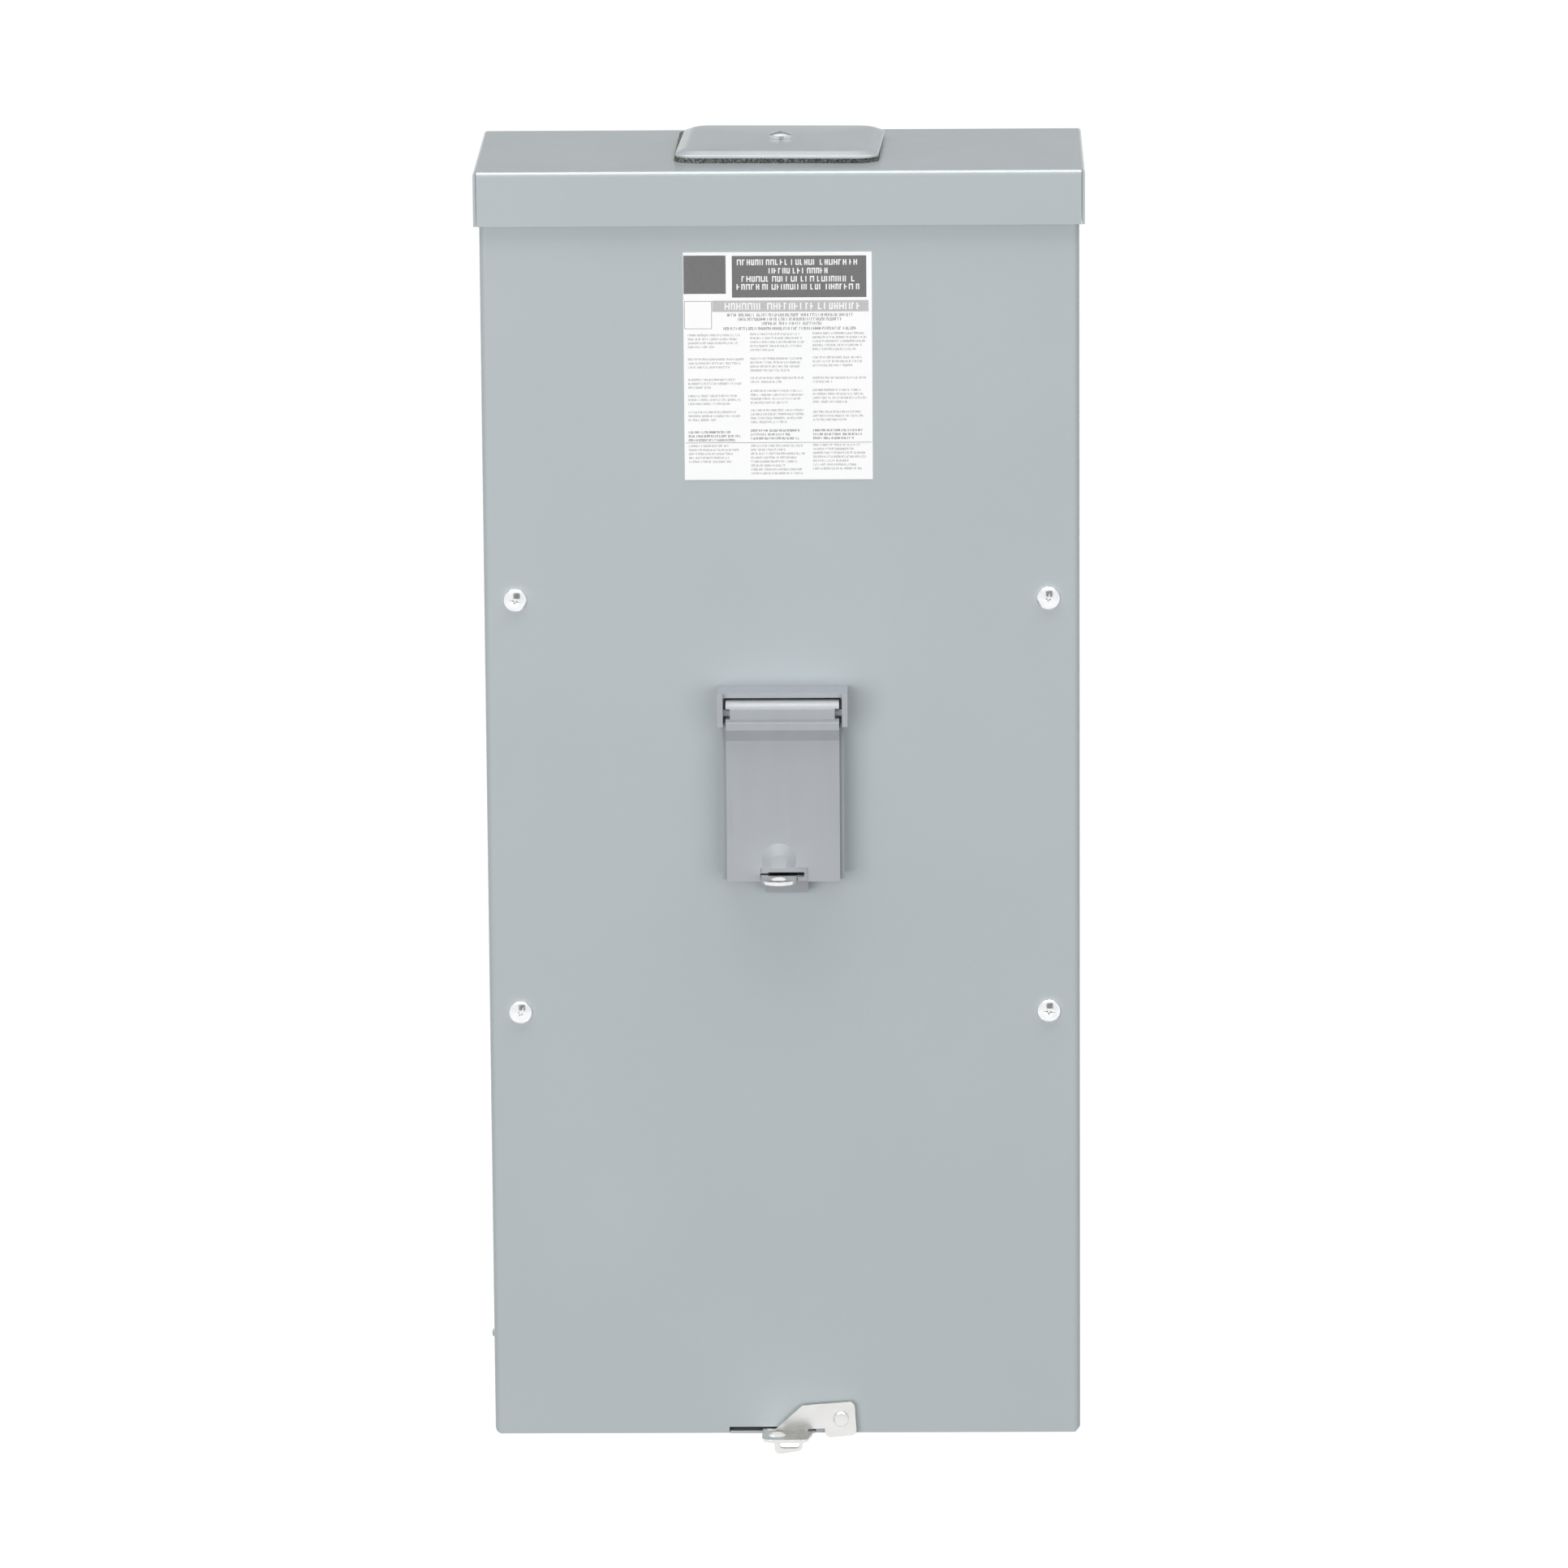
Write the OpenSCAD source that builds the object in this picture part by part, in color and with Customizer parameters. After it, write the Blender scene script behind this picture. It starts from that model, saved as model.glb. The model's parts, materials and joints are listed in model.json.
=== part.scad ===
// Rain-tight enclosed circuit breaker (disconnect box) for a wall, millimetres.
// Origin: centre of the four wall-mounting holes, on the back face. +Z up, +X right, front towards -Y.
// Inside the modules heights are measured from the cover's bottom edge, and placed() moves them
// to the origin. Depths in front of the cover are written as cover_y - distance.

/* [Enclosure] */
// Width over the front cover
case_w = 261.5; // [225:0.5:340]
// Height from the cover's bottom edge to the top of the hood
case_h = 570.2; // [500:0.1:700]
// Depth from the wall to the face of the cover
case_d = 116; // [108:1:150]
// Thickness of the box, cover and hood sheet
sheet_t = 1.2; // [1.0:0.1:1.6]
// Outer radius of the bends in the box and the hood
bend_r = 2.4; // [2.2:0.1:3.2]
// Outer radius of the bends at the cover's sides
cover_bend_r = 3; // [2.4:0.1:3.4]
// Gap left between loose sheet pieces
slip = 0.3; // [0.2:0.05:0.4]
// Width of the box's front returns, which carry the cover
return_w = 20; // [18:1:26]
// Width of the in-turned flanges under the hood
top_flange_w = 12; // [8:1:18]
// Height of the bottom wall's upturned flanges
bottom_flange_h = 14; // [10:1:20]

/* [Wall mounting] */
// Distance between the wall holes across
wall_hole_x = 170; // [150:1:190]
// Radius of the wall holes
wall_hole_r = 4; // [3:0.5:5]
// Height of the lower wall holes above the cover's bottom edge
wall_hole_low = 40; // [30:1:50]
// Distance of the upper wall holes below the top of the hood
wall_hole_high = 40.2; // [30:0.1:60]

/* [Hood] */
// Drop of the hood's front and side flanges
hood_drop = 24; // [18:0.5:30]
// Gap between the hood's side flange and the cover
hood_side_gap = 1.15; // [0.6:0.05:1.6]
// How far the hood's front flange stands off the cover
hood_front_gap = 1.8; // [1:0.1:3]
// Radius of the hub opening in the hood
hub_r = 31; // [25:1:34]
// Distance of the hub opening's centre from the wall
hub_y = 56; // [54:1:58]

/* [Closing plate] */
// Width of the closing plate
plate_w = 89; // [84:1:95]
// Length of the closing plate, wall to front
plate_l = 82; // [80:1:86]
// Corner radius of the closing plate
plate_corner_r = 9; // [6:1:12]
// Height of the closing plate's formed rim
plate_rise = 2.8; // [2.4:0.1:3.4]
// Thickness of the foam gasket under the plate
gasket_t = 2.2; // [1.5:0.1:3]
// Turn of the plate about its screw, degrees
plate_turn = 1; // [0:0.5:2]
// Radius of the single plate screw's shank
plate_screw_r = 2.9; // [2.4:0.1:3.2]

/* [Cover fixing] */
// Distance of the cover screws from the cover's side edge
cover_screw_edge = 13.75; // [13:0.25:15]
// Height of the lower pair of cover screws
cover_screw_low = 193.9; // [150:0.1:230]
// Distance between the two pairs of cover screws
cover_screw_gap = 186.2; // [160:0.1:220]
// Radius of the cover screws' shank
screw_r = 2.4; // [2:0.1:2.6]
// Radius of the pan heads
screw_head_r = 4.95; // [4.5:0.05:5.4]
// Height of the pan heads
screw_head_h = 3; // [2.4:0.1:3.4]

/* [Bottom latch] */
// Half width of the bottom hasp plate
hasp_r = 11.25; // [10.5:0.25:12]
// Reach of the hasp in front of the cover
hasp_reach = 19.5; // [19:0.1:24]
// Thickness of the hasp
hasp_t = 1.3; // [1.2:0.1:2]
// Radius of the hasp's padlock hole
hasp_lock_r = 3.9; // [3:0.05:4.2]
// Radius of the padlock tab's hole
lock_r = 3.55; // [3:0.05:4]
// Thickness of the latch arm
arm_t = 1.6; // [1.2:0.1:1.8]
// Distance from the cover's face to the middle of the latch arm
arm_y = 3; // [2.8:0.1:3.2]
// Rivet position to the right of the middle
rivet_x = 23.9; // [22:0.1:25]
// Rivet height above the cover's bottom edge
rivet_z = 7.4; // [7.2:0.1:8]
// Radius of the rivet's shank
rivet_r = 2.5; // [2:0.1:2.8]

/* [Flap] */
// Height of the flap's hinge axis
hinge_z = 332.4; // [320:0.1:345]
// Distance of the hinge axis in front of the cover
hinge_y = 15.5; // [15:0.1:16]
// Radius of the flap's barrel
barrel_r = 6; // [5.6:0.1:6.2]
// Radius of the hinge stubs
stub_r = 1.7; // [1.2:0.1:1.8]
// Width of the flap
flap_w = 49.8; // [47:0.1:54]
// Distance from the hinge axis down to the flap's bottom edge
flap_h = 75.6; // [74.5:0.1:76.5]
// Thickness of the flap's panel
flap_t = 2; // [1.8:0.1:2.4]
// Thickness of the frame's skirt, whose inner edge lies behind the flap
frame_t = 2.4; // [2.2:0.1:2.8]
// Width of the padlock tab
tab_w = 15.6; // [14:0.1:16]
// Reach of the padlock tab in front of the cover
tab_reach = 33; // [31:0.5:36]

/* [Label] */
// Width of the label
label_w = 82.3; // [60:0.1:100]
// Height of the label
label_h = 100.8; // [60:0.1:110]
// Distance of the label's top below the top of the hood
label_drop = 36; // [30:0.5:60]

/* [Breaker] */
// Width of the three-pole breaker
breaker_w = 114; // [108:1:120]
// Height of the breaker
breaker_h = 165; // [155:1:175]
// Height of the breaker's middle, where the toggle turns
breaker_z = 298; // [296:1:300]
// Distance between poles
pole_pitch = 37; // [35:0.5:38]
// Throw of the toggle from off to on, degrees
toggle_throw = 32; // [24:1:34]
// Half width of the toggle's handle
toggle_half_w = 8; // [6:0.5:9]

/* [Hidden] */
$fn = 64;
eps = 0.01;

// Finishes
paint = [0.70, 0.74, 0.76];
plastic = [0.67, 0.69, 0.71];
zinc = [0.85, 0.85, 0.84];
foam = [0.25, 0.26, 0.25];
moulding = [0.16, 0.16, 0.17];
alloy = [0.75, 0.76, 0.78];

// Enclosure
wall_hole_z = case_h - wall_hole_high - wall_hole_low;
mount_z = wall_hole_low + wall_hole_z / 2;
cover_y = -case_d;
cover_back_y = cover_y + sheet_t;
box_w = case_w - 2 * (sheet_t + slip);
side_in_x = box_w / 2 - sheet_t;
floor_low = -slip;
floor_top = floor_low + sheet_t;
hood_under = case_h - sheet_t;
cover_top = case_h - 3.7;
cover_flange_d = 14;
cover_corner_r = 3;
cover_corner_cut = 2.3;
hood_w = case_w + 2 * (hood_side_gap + sheet_t);
hood_front_y = cover_y - hood_front_gap - sheet_t;
hood_low = case_h - hood_drop;
hood_seam = 0.25;
hood_side_r = sheet_t + 0.2;
side_rivet_y = cover_y + 7;
side_rivet_z = 45;
side_rivet_r = 1.5;

// Bottom wall openings
drain_inset = 22;
drain_r = 3;
knockout_pitch = box_w * 0.26;
knockout_y = cover_y * 0.42;
knockout_rs = [14, 22];

// Closing plate stack
plate_rim = 4.5;
gasket_side = 1;
gasket_turn = -0.8;
plate_under = case_h + gasket_t;
plate_top = plate_under + plate_rise;
clamp_t = 3;
plate_screw_len = plate_top - (hood_under - clamp_t) + 5;

// Cover screws
cover_screw_x = case_w / 2 - cover_screw_edge;
hole_play = 0.4;
thread_play = 0.1;
run_play = 0.06;
clip_t = 0.8;
clip_w = 12;
clip_l = 15;

// Bottom latch
hasp_low = floor_top;
hasp_top = hasp_low + hasp_t;
hasp_in = 34;
hasp_slot_half = 9.15;
hasp_left_r = 5.5;
hasp_right_r = 4;
hasp_cut = 1.6;
arm_play = 0.45;
arm_front_y = cover_y - arm_y - arm_t / 2;
arm_back_y = cover_y - arm_y + arm_t / 2;
notch_left = -26;
notch_right = 12.6;
notch_top = hasp_top + 0.6;
hasp_lock_x = -4.7;
hasp_lock_y = 10.8;
seal_half = 2.95;
seal_r = 1.4;
rivet_head_r = 3.45;
rivet_head_h = 1.4;
spacer_t = arm_y - arm_t / 2 - slip;
hasp_rivet_xs = [-6, 6];
hasp_rivet_y = cover_y + hasp_in - 8;
hasp_rivet_r = 1.5;

// Flap and its frame
flap_x = 0.2;
flap_low = hinge_z - flap_h;
flap_half = flap_w / 2;
frame_half = flap_half + 1.9;
ear_t = 2.5;
ear_in = flap_half + 1.2;
ear_low = hinge_z - 5.5;
frame_top = hinge_z + 9;
frame_low = flap_low + 0.2;
frame_lid_t = 2;
lid_front = hinge_y + 2;
frame_floor_t = 2.2;
frame_front = hinge_y + barrel_r - 1;
skirt_front = 13;
lap_top = hinge_z - barrel_r - 1;
sill_front = 10;
sill_t = 1.1;
lip_front = 7;
lip_left = -8.2;
lip_low = flap_low - 7.2;
lip_top = flap_low - 0.4;
window_half_w = 18;
window_half_h = 27;
flap_face = hinge_y + 1.6;
flap_front = hinge_y + barrel_r;
flap_side_back = 9;
flap_wall_half = frame_half - frame_t - slip;
flap_wall_t = 1.4;
stub_notch_w = 1.9;
stub_notch_low = hinge_z - 1.9;
stub_notch_top = hinge_z + 2.7;
tab_x = -1.8;
tab_t = 1.5;
tab_low = flap_low + 1.6;
tab_top = tab_low + tab_t;
tab_play = 0.35;
tab_lock = 26;
slot_left = tab_x - 4.9;
slot_right = 9.1;
slot_low = flap_low + 2;
slot_top = flap_low + 3.9;
recess_right = 10.8;
recess_top = flap_low + 6.2;
recess_d = 0.9;
tab_rivet_x = 4.5;
tab_rivet_z = tab_top + 6;
tab_rivet_r = 1.4;
boss_z = flap_low + 9.2;
boss_r = 8.3;
boss_top_r = 3.4;
boss_h = 2.9;
frame_screw_x = flap_half - 3.4;
frame_screw_zs = [flap_low + 6, hinge_z + 1.6];
frame_screw_r = 1.45;
frame_boss_front = 7.5;

// Label
label_t = 0.2;
label_x = -0.85;
label_top = case_h - label_drop;

// Breaker, placed from the cover so that its handle always reaches the flap
pan_t = 1.5;
toggle_pivot_y = cover_y + 38;
breaker_back_y = cover_y + 89.5;
breaker_deck_y = toggle_pivot_y - 12;
breaker_face_y = toggle_pivot_y - 26;
escutcheon_y = toggle_pivot_y - 34.3;
centre_half_h = 55;
escutcheon_half_w = 19;
escutcheon_half_h = 30;
drum_r = 30;
drum_half_w = 10;
drum_play = 1.5;
toggle_tip = 50.5;
pin_r = 2.5;
pin_half = 17;
lug_w = 25;
lug_h = 24;
lug_d = 24;
lug_play = 0.5;
lug_wire_r = 8;
lug_screw_r = 5;
lug_back_y = toggle_pivot_y + 32;
poles = [-pole_pitch, 0, pole_pitch];
breaker_screw_x = pole_pitch / 2;
breaker_screw_z = 70;
breaker_screw_r = 2.2;
button_x = -34;
button_z = 34;
button_r = 3;
button_travel = 1.2;

// Mounting pan
pan_half_h = breaker_h / 2 + 10;
pan_foot = 16;
pan_w = breaker_w + 10;
stud_r = 2.4;
stud_x = pan_w / 2 - 14;
stud_z = pan_half_h + pan_foot / 2;
stud_len = 9;
nut_r = 4.6;
nut_h = 4;

// Neutral and ground
neutral_x = case_w / 2 - 36;
neutral_z = 135;
neutral_len = 52;
neutral_base_d = 24;
bar_seat = 3;
neutral_back_y = -sheet_t - neutral_base_d + bar_seat;
bar_w = 16;
bar_d = 13;
bar_hole_r = 3;
bar_pitch = 11;
bar_screw_r = 2.8;
ground_x = -(case_w / 2 - 36);
ground_z = 92;
ground_len = 48;
ground_foot_d = 6;

// ---------------------------------------------------------------- helpers

// Moves a piece from cover-edge heights to the part's origin.
module placed() {
  translate([0, 0, -mount_z]) children();
}

// A box from its low corner to its high corner.
module span(low, high) {
  translate(low) cube([for (i = [0:2]) high[i] - low[i]]);
}

// A cylinder along Y, from depth y0 to y1.
module rod_y(x, z, y0, y1, r) {
  translate([x, min(y0, y1), z]) rotate([-90, 0, 0]) cylinder(h = abs(y1 - y0), r = r);
}

// A cylinder along X, from x0 to x1.
module rod_x(y, z, x0, x1, r) {
  translate([x0, y, z]) rotate([0, 90, 0]) cylinder(h = x1 - x0, r = r);
}

// Extrudes a side outline, drawn as [y, z], across X from x0 to x1.
module across(x0, x1) {
  translate([x0, 0, 0]) rotate([90, 0, 90]) linear_extrude(x1 - x0) children();
}

// Extrudes a front outline, drawn as [x, z], from the depth y0 back to y1.
module facing(y0, y1) {
  translate([0, y1, 0]) rotate([90, 0, 0]) linear_extrude(y1 - y0) children();
}

// A rectangle centred on X whose two corners at y = 0 have radius r; it runs to y = d.
module round_front(w, d, r) {
  for (side = [-1, 1]) translate([side * (w / 2 - r), r]) circle(r = r);
  translate([-w / 2 + r, 0]) square([w - 2 * r, d]);
  translate([-w / 2, r]) square([w, d - r]);
}

// A U-shaped sheet section: flat front at y = 0, flanges running back to y = d.
module channel(w, d, t, r) {
  difference() {
    round_front(w, d, r);
    translate([0, t]) round_front(w - 2 * t, d - t + eps, r - t);
  }
}

// A rounded rectangle centred on the origin.
module round_rect(w, l, r) {
  for (x = [-1, 1], y = [-1, 1]) translate([x * (w / 2 - r), y * (l / 2 - r)]) circle(r = r);
  square([w - 2 * r, l], center = true);
  square([w, l - 2 * r], center = true);
}

// A pan-head screw that stands on z = 0 and has its shank below; slot and cross recess.
module pan_screw(head_r, head_h, shank_r, shank_l, turn = 0) {
  difference() {
    rotate_extrude() polygon([[0, 0], [head_r, 0], [head_r, head_h * 0.35],
      [head_r * 0.92, head_h * 0.7], [head_r * 0.72, head_h * 0.93], [0, head_h]]);
    rotate(turn) for (a = [0, 90])
      rotate(a) translate([-head_r * 0.5, -head_r * 0.11, head_h * 0.5])
        cube([head_r, head_r * 0.22, head_h]);
  }
  translate([0, 0, -shank_l]) cylinder(h = shank_l + eps, r = shank_r);
}

// The same screw driven from the front, head on the plane y.
module front_screw(x, z, y, head_r, head_h, shank_r, shank_l, turn = 0) {
  translate([x, y, z]) rotate([90, 0, 0]) pan_screw(head_r, head_h, shank_r, shank_l, turn);
}

// A hexagonal nut on a stud, from y0 towards the front.
module hex_nut(x, z, y0) {
  translate([x, y0, z]) rotate([90, 0, 0]) difference() {
    cylinder(h = nut_h, r = nut_r, $fn = 6);
    translate([0, 0, -eps]) cylinder(h = nut_h + 2 * eps, r = stud_r + thread_play);
  }
}

// Puts children at the four cover screws.
module at_cover_screws() {
  for (x = [-1, 1], z = [0, 1])
    translate([x * cover_screw_x, 0, cover_screw_low + z * cover_screw_gap]) children();
}

// A shallow ring pressed around a knockout, on a plate whose outside faces -Z.
module knockout_ring(r) {
  difference() {
    cylinder(h = 0.5, r = r + 0.5);
    translate([0, 0, -eps]) cylinder(h = 0.6, r = r - 0.5);
  }
}

// ---------------------------------------------------------------- box

// Section of the box: back wall, sides and front returns of the given width.
module box_section(front_w) {
  depth = case_d - sheet_t;
  translate([0, -depth / 2]) difference() {
    round_rect(box_w, depth, bend_r);
    round_rect(box_w - 2 * sheet_t, depth - 2 * sheet_t, bend_r - sheet_t);
    translate([-box_w / 2 + front_w, -depth / 2 - eps])
      square([box_w - 2 * front_w, bend_r + 2 * eps]);
  }
}

// Back wall and sides: one bent sheet with front returns and top flanges.
module back_box() color(paint) placed() {
  difference() {
    union() {
      translate([0, 0, floor_top]) linear_extrude(hood_under - floor_top - hood_drop) box_section(return_w);
      translate([0, 0, hood_under - hood_drop]) linear_extrude(hood_drop) box_section(bend_r);
      for (side = [-1, 1]) {
        x_out = side * side_in_x;
        x_top = side * (side_in_x - top_flange_w);
        span([min(x_out, x_top), cover_back_y + 4, hood_under - sheet_t],
             [max(x_out, x_top), -sheet_t, hood_under]);
      }
      span([-side_in_x, -top_flange_w, hood_under - sheet_t], [side_in_x, -sheet_t, hood_under]);
    }
    for (x = [-1, 1], z = [0, 1])
      rod_y(x * wall_hole_x / 2, wall_hole_low + z * wall_hole_z, -sheet_t - eps, eps, wall_hole_r);
    at_cover_screws()
      rod_y(0, 0, cover_back_y - eps, cover_back_y + sheet_t + eps, screw_r + hole_play);
  }
}

// Bottom end wall: a tray with upturned flanges, two drain holes and three knockouts.
module bottom_wall() color(paint) placed() {
  tray_front = cover_back_y + slip;
  difference() {
    union() {
      translate([0, tray_front, floor_low]) linear_extrude(sheet_t)
        round_front(box_w, -tray_front, bend_r);
      for (side = [-1, 1]) {
        x_out = side * side_in_x;
        x_in = side * (side_in_x - sheet_t);
        span([min(x_out, x_in), cover_back_y + return_w, floor_top - eps],
             [max(x_out, x_in), -sheet_t - bend_r, floor_top + bottom_flange_h]);
      }
      span([-side_in_x + bend_r, -2 * sheet_t, floor_top - eps],
           [side_in_x - bend_r, -sheet_t, floor_top + bottom_flange_h]);
      // tongue that comes forward into the cover's notch
      span([notch_left + slip, cover_y + slip, floor_low], [notch_right - slip, tray_front + eps, floor_top]);
    }
    for (x = [-1, 1]) translate([x * (box_w / 2 - drain_inset), tray_front + drain_inset, floor_low - eps])
      cylinder(h = sheet_t + 2 * eps, r = drain_r);
    for (x = [-1, 0, 1], r = knockout_rs)
      translate([x * knockout_pitch, knockout_y, floor_low - eps]) knockout_ring(r);
    for (x = hasp_rivet_xs) translate([x, hasp_rivet_y, floor_low - eps])
      cylinder(h = sheet_t + 2 * eps, r = hasp_rivet_r + thread_play);
  }
}

// The hood's top and side flanges, from the depth y0 back to the wall.
module hood_channel(y0) {
  translate([0, 0, case_h]) rotate([-90, 0, 0]) translate([0, 0, y0])
    linear_extrude(-y0) channel(hood_w, hood_drop, sheet_t, hood_side_r);
}

// Hood: top, front flange and side flanges, with the hub opening.
module rain_hood() color(paint) placed() {
  side_front_y = hood_front_y + sheet_t / 2;
  flange_half = hood_w / 2 - sheet_t - hood_seam;
  difference() {
    union() {
      hood_channel(hood_front_y + bend_r);
      // front flange, bent down from the top
      across(-flange_half, flange_half) translate([hood_front_y, case_h]) difference() {
        union() {
          translate([bend_r, -bend_r]) circle(r = bend_r);
          translate([bend_r, -bend_r]) square([bend_r, bend_r]);
          translate([0, -hood_drop]) square([sheet_t, hood_drop - bend_r]);
        }
        translate([bend_r, -bend_r]) circle(r = bend_r - sheet_t);
        translate([sheet_t, -hood_drop - eps]) square([2 * bend_r, hood_drop - bend_r]);
        translate([bend_r, -2 * bend_r]) square([2 * bend_r, 2 * bend_r - sheet_t]);
      }
      // side flanges run on beside the front flange, apart from it by the corner seam
      intersection() {
        hood_channel(side_front_y);
        for (side = [-1, 1]) {
          x_in = side * (hood_w / 2 - sheet_t);
          x_out = side * (hood_w / 2 + 1);
          span([min(x_in, x_out), side_front_y - 1, hood_low - 1],
               [max(x_in, x_out), hood_front_y + bend_r + eps, case_h + 1]);
        }
      }
    }
    translate([0, -hub_y, hood_under - eps]) cylinder(h = sheet_t + 2 * eps, r = hub_r);
  }
}

// Closing plate: formed cap over the hub opening.
module closing_plate() color(paint) placed() {
  translate([0, -hub_y, plate_under]) rotate(plate_turn) difference() {
    plate_form(0);
    translate([0, 0, -eps]) plate_form(sheet_t);
    translate([0, 0, plate_rise - sheet_t - 1]) cylinder(h = sheet_t + 2, r = plate_screw_r + hole_play);
  }
}

// The plate's formed shape, or the hollow under it when inset by a wall.
module plate_form(inset) {
  hull() {
    linear_extrude(0.2) round_rect(plate_w - 2 * inset, plate_l - 2 * inset, plate_corner_r, $fn = 32);
    translate([0, 0, plate_rise - inset - 0.2])
      linear_extrude(0.2)
        round_rect(plate_w - 2 * (inset + plate_rim), plate_l - 2 * (inset + plate_rim),
                   plate_corner_r - 2, $fn = 32);
  }
}

// Foam gasket between the hood and the closing plate.
module closing_gasket() color(foam) placed() {
  translate([0, -hub_y + 1, case_h]) rotate(gasket_turn) difference() {
    linear_extrude(gasket_t) round_rect(plate_w + gasket_side, plate_l + gasket_side, plate_corner_r);
    translate([0, 0, -eps]) cylinder(h = gasket_t + 2 * eps, r = hub_r);
  }
}

// The single screw that draws the closing plate down.
module closing_screw() color(zinc) placed() {
  translate([0, -hub_y, plate_top])
    pan_screw(screw_head_r * 1.06, screw_head_h, plate_screw_r, plate_screw_len, 35);
}

// Bar under the hood that the plate's screw pulls against.
module clamp_bar() color(zinc) placed() {
  translate([0, -hub_y, hood_under - clamp_t]) difference() {
    linear_extrude(clamp_t) round_rect(2 * hub_r + 26, 18, 4);
    translate([0, 0, -eps]) cylinder(h = clamp_t + 2 * eps, r = plate_screw_r + thread_play);
  }
}

// ---------------------------------------------------------------- cover

// Front cover: a flat sheet with side flanges over the box, a handle window and the latch notch.
module front_cover() color(paint) placed() {
  difference() {
    translate([0, cover_y, 0]) linear_extrude(cover_top)
      channel(case_w, cover_flange_d, sheet_t, cover_bend_r);
    at_cover_screws() rod_y(0, 0, cover_y - eps, cover_back_y + eps, screw_r + hole_play);
    span([-escutcheon_half_w - 1, cover_y - eps, breaker_z - escutcheon_half_h],
         [escutcheon_half_w + 1, cover_back_y + eps, breaker_z + escutcheon_half_h]);
    for (x = [-1, 1], z = frame_screw_zs)
      rod_y(flap_x + x * frame_screw_x, z, cover_y - eps, cover_back_y + eps, frame_screw_r + hole_play);
    span([notch_left, cover_y - eps, -eps], [notch_right, cover_back_y + eps, notch_top]);
    rod_y(rivet_x, rivet_z, cover_y - eps, cover_back_y + eps, rivet_r + thread_play);
    rod_x(side_rivet_y, side_rivet_z, -case_w / 2 - eps, -case_w / 2 + sheet_t + eps,
          side_rivet_r + thread_play);
    // lower corners: rounded on the left, cut off on the right
    facing(cover_y - eps, cover_y + cover_flange_d + eps) {
      translate([-case_w / 2, 0]) difference() {
        translate([-eps, -eps]) square(cover_corner_r + eps);
        translate([cover_corner_r, cover_corner_r]) circle(r = cover_corner_r);
      }
      translate([case_w / 2, 0])
        polygon([[eps, -eps], [-cover_corner_cut - eps, -eps], [eps, cover_corner_cut + eps]]);
    }
  }
}

// Four pan-head screws that hold the cover.
module cover_screws() color(zinc) placed() {
  for (x = [-1, 1], z = [0, 1])
    front_screw(x * cover_screw_x, cover_screw_low + z * cover_screw_gap, cover_y,
                screw_head_r, screw_head_h, screw_r, 14, 35 * x + 50 * z);
}

// Four spring clip nuts pushed over the box's returns.
module cover_clip_nuts() color(zinc) placed() {
  return_in = box_w / 2 - return_w;
  clip_back = cover_back_y + sheet_t;
  for (side = [-1, 1], z = [0, 1])
    translate([0, 0, cover_screw_low + z * cover_screw_gap]) mirror([side < 0 ? 1 : 0, 0, 0])
      difference() {
        union() {
          span([return_in - slip - clip_t, clip_back, -clip_w / 2],
               [return_in - slip + clip_l, clip_back + clip_t, clip_w / 2]);
          span([return_in - slip - clip_t, cover_back_y, -clip_w / 2],
               [return_in - slip, clip_back + eps, clip_w / 2]);
          rod_y(cover_screw_x, 0, clip_back, clip_back + 3, screw_r + 1.4);
        }
        rod_y(cover_screw_x, 0, clip_back - eps, clip_back + 3 + eps, screw_r + thread_play);
      }
}

// Small rivet in the cover's left flange.
module side_rivet() color(paint) placed() {
  rod_x(side_rivet_y, side_rivet_z, -case_w / 2 - eps, -case_w / 2 + sheet_t, side_rivet_r);
  translate([-case_w / 2, side_rivet_y, side_rivet_z]) rotate([0, -90, 0])
    rotate_extrude() polygon([[0, 0], [1.9, 0], [1.7, 0.6], [1.1, 1.0], [0, 1.1]]);
}

// Blank label, stuck on the cover.
module label() color("white") placed() {
  span([label_x - label_w / 2, cover_y - label_t, label_top - label_h],
       [label_x + label_w / 2, cover_y, label_top]);
}

// ---------------------------------------------------------------- flap

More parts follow.
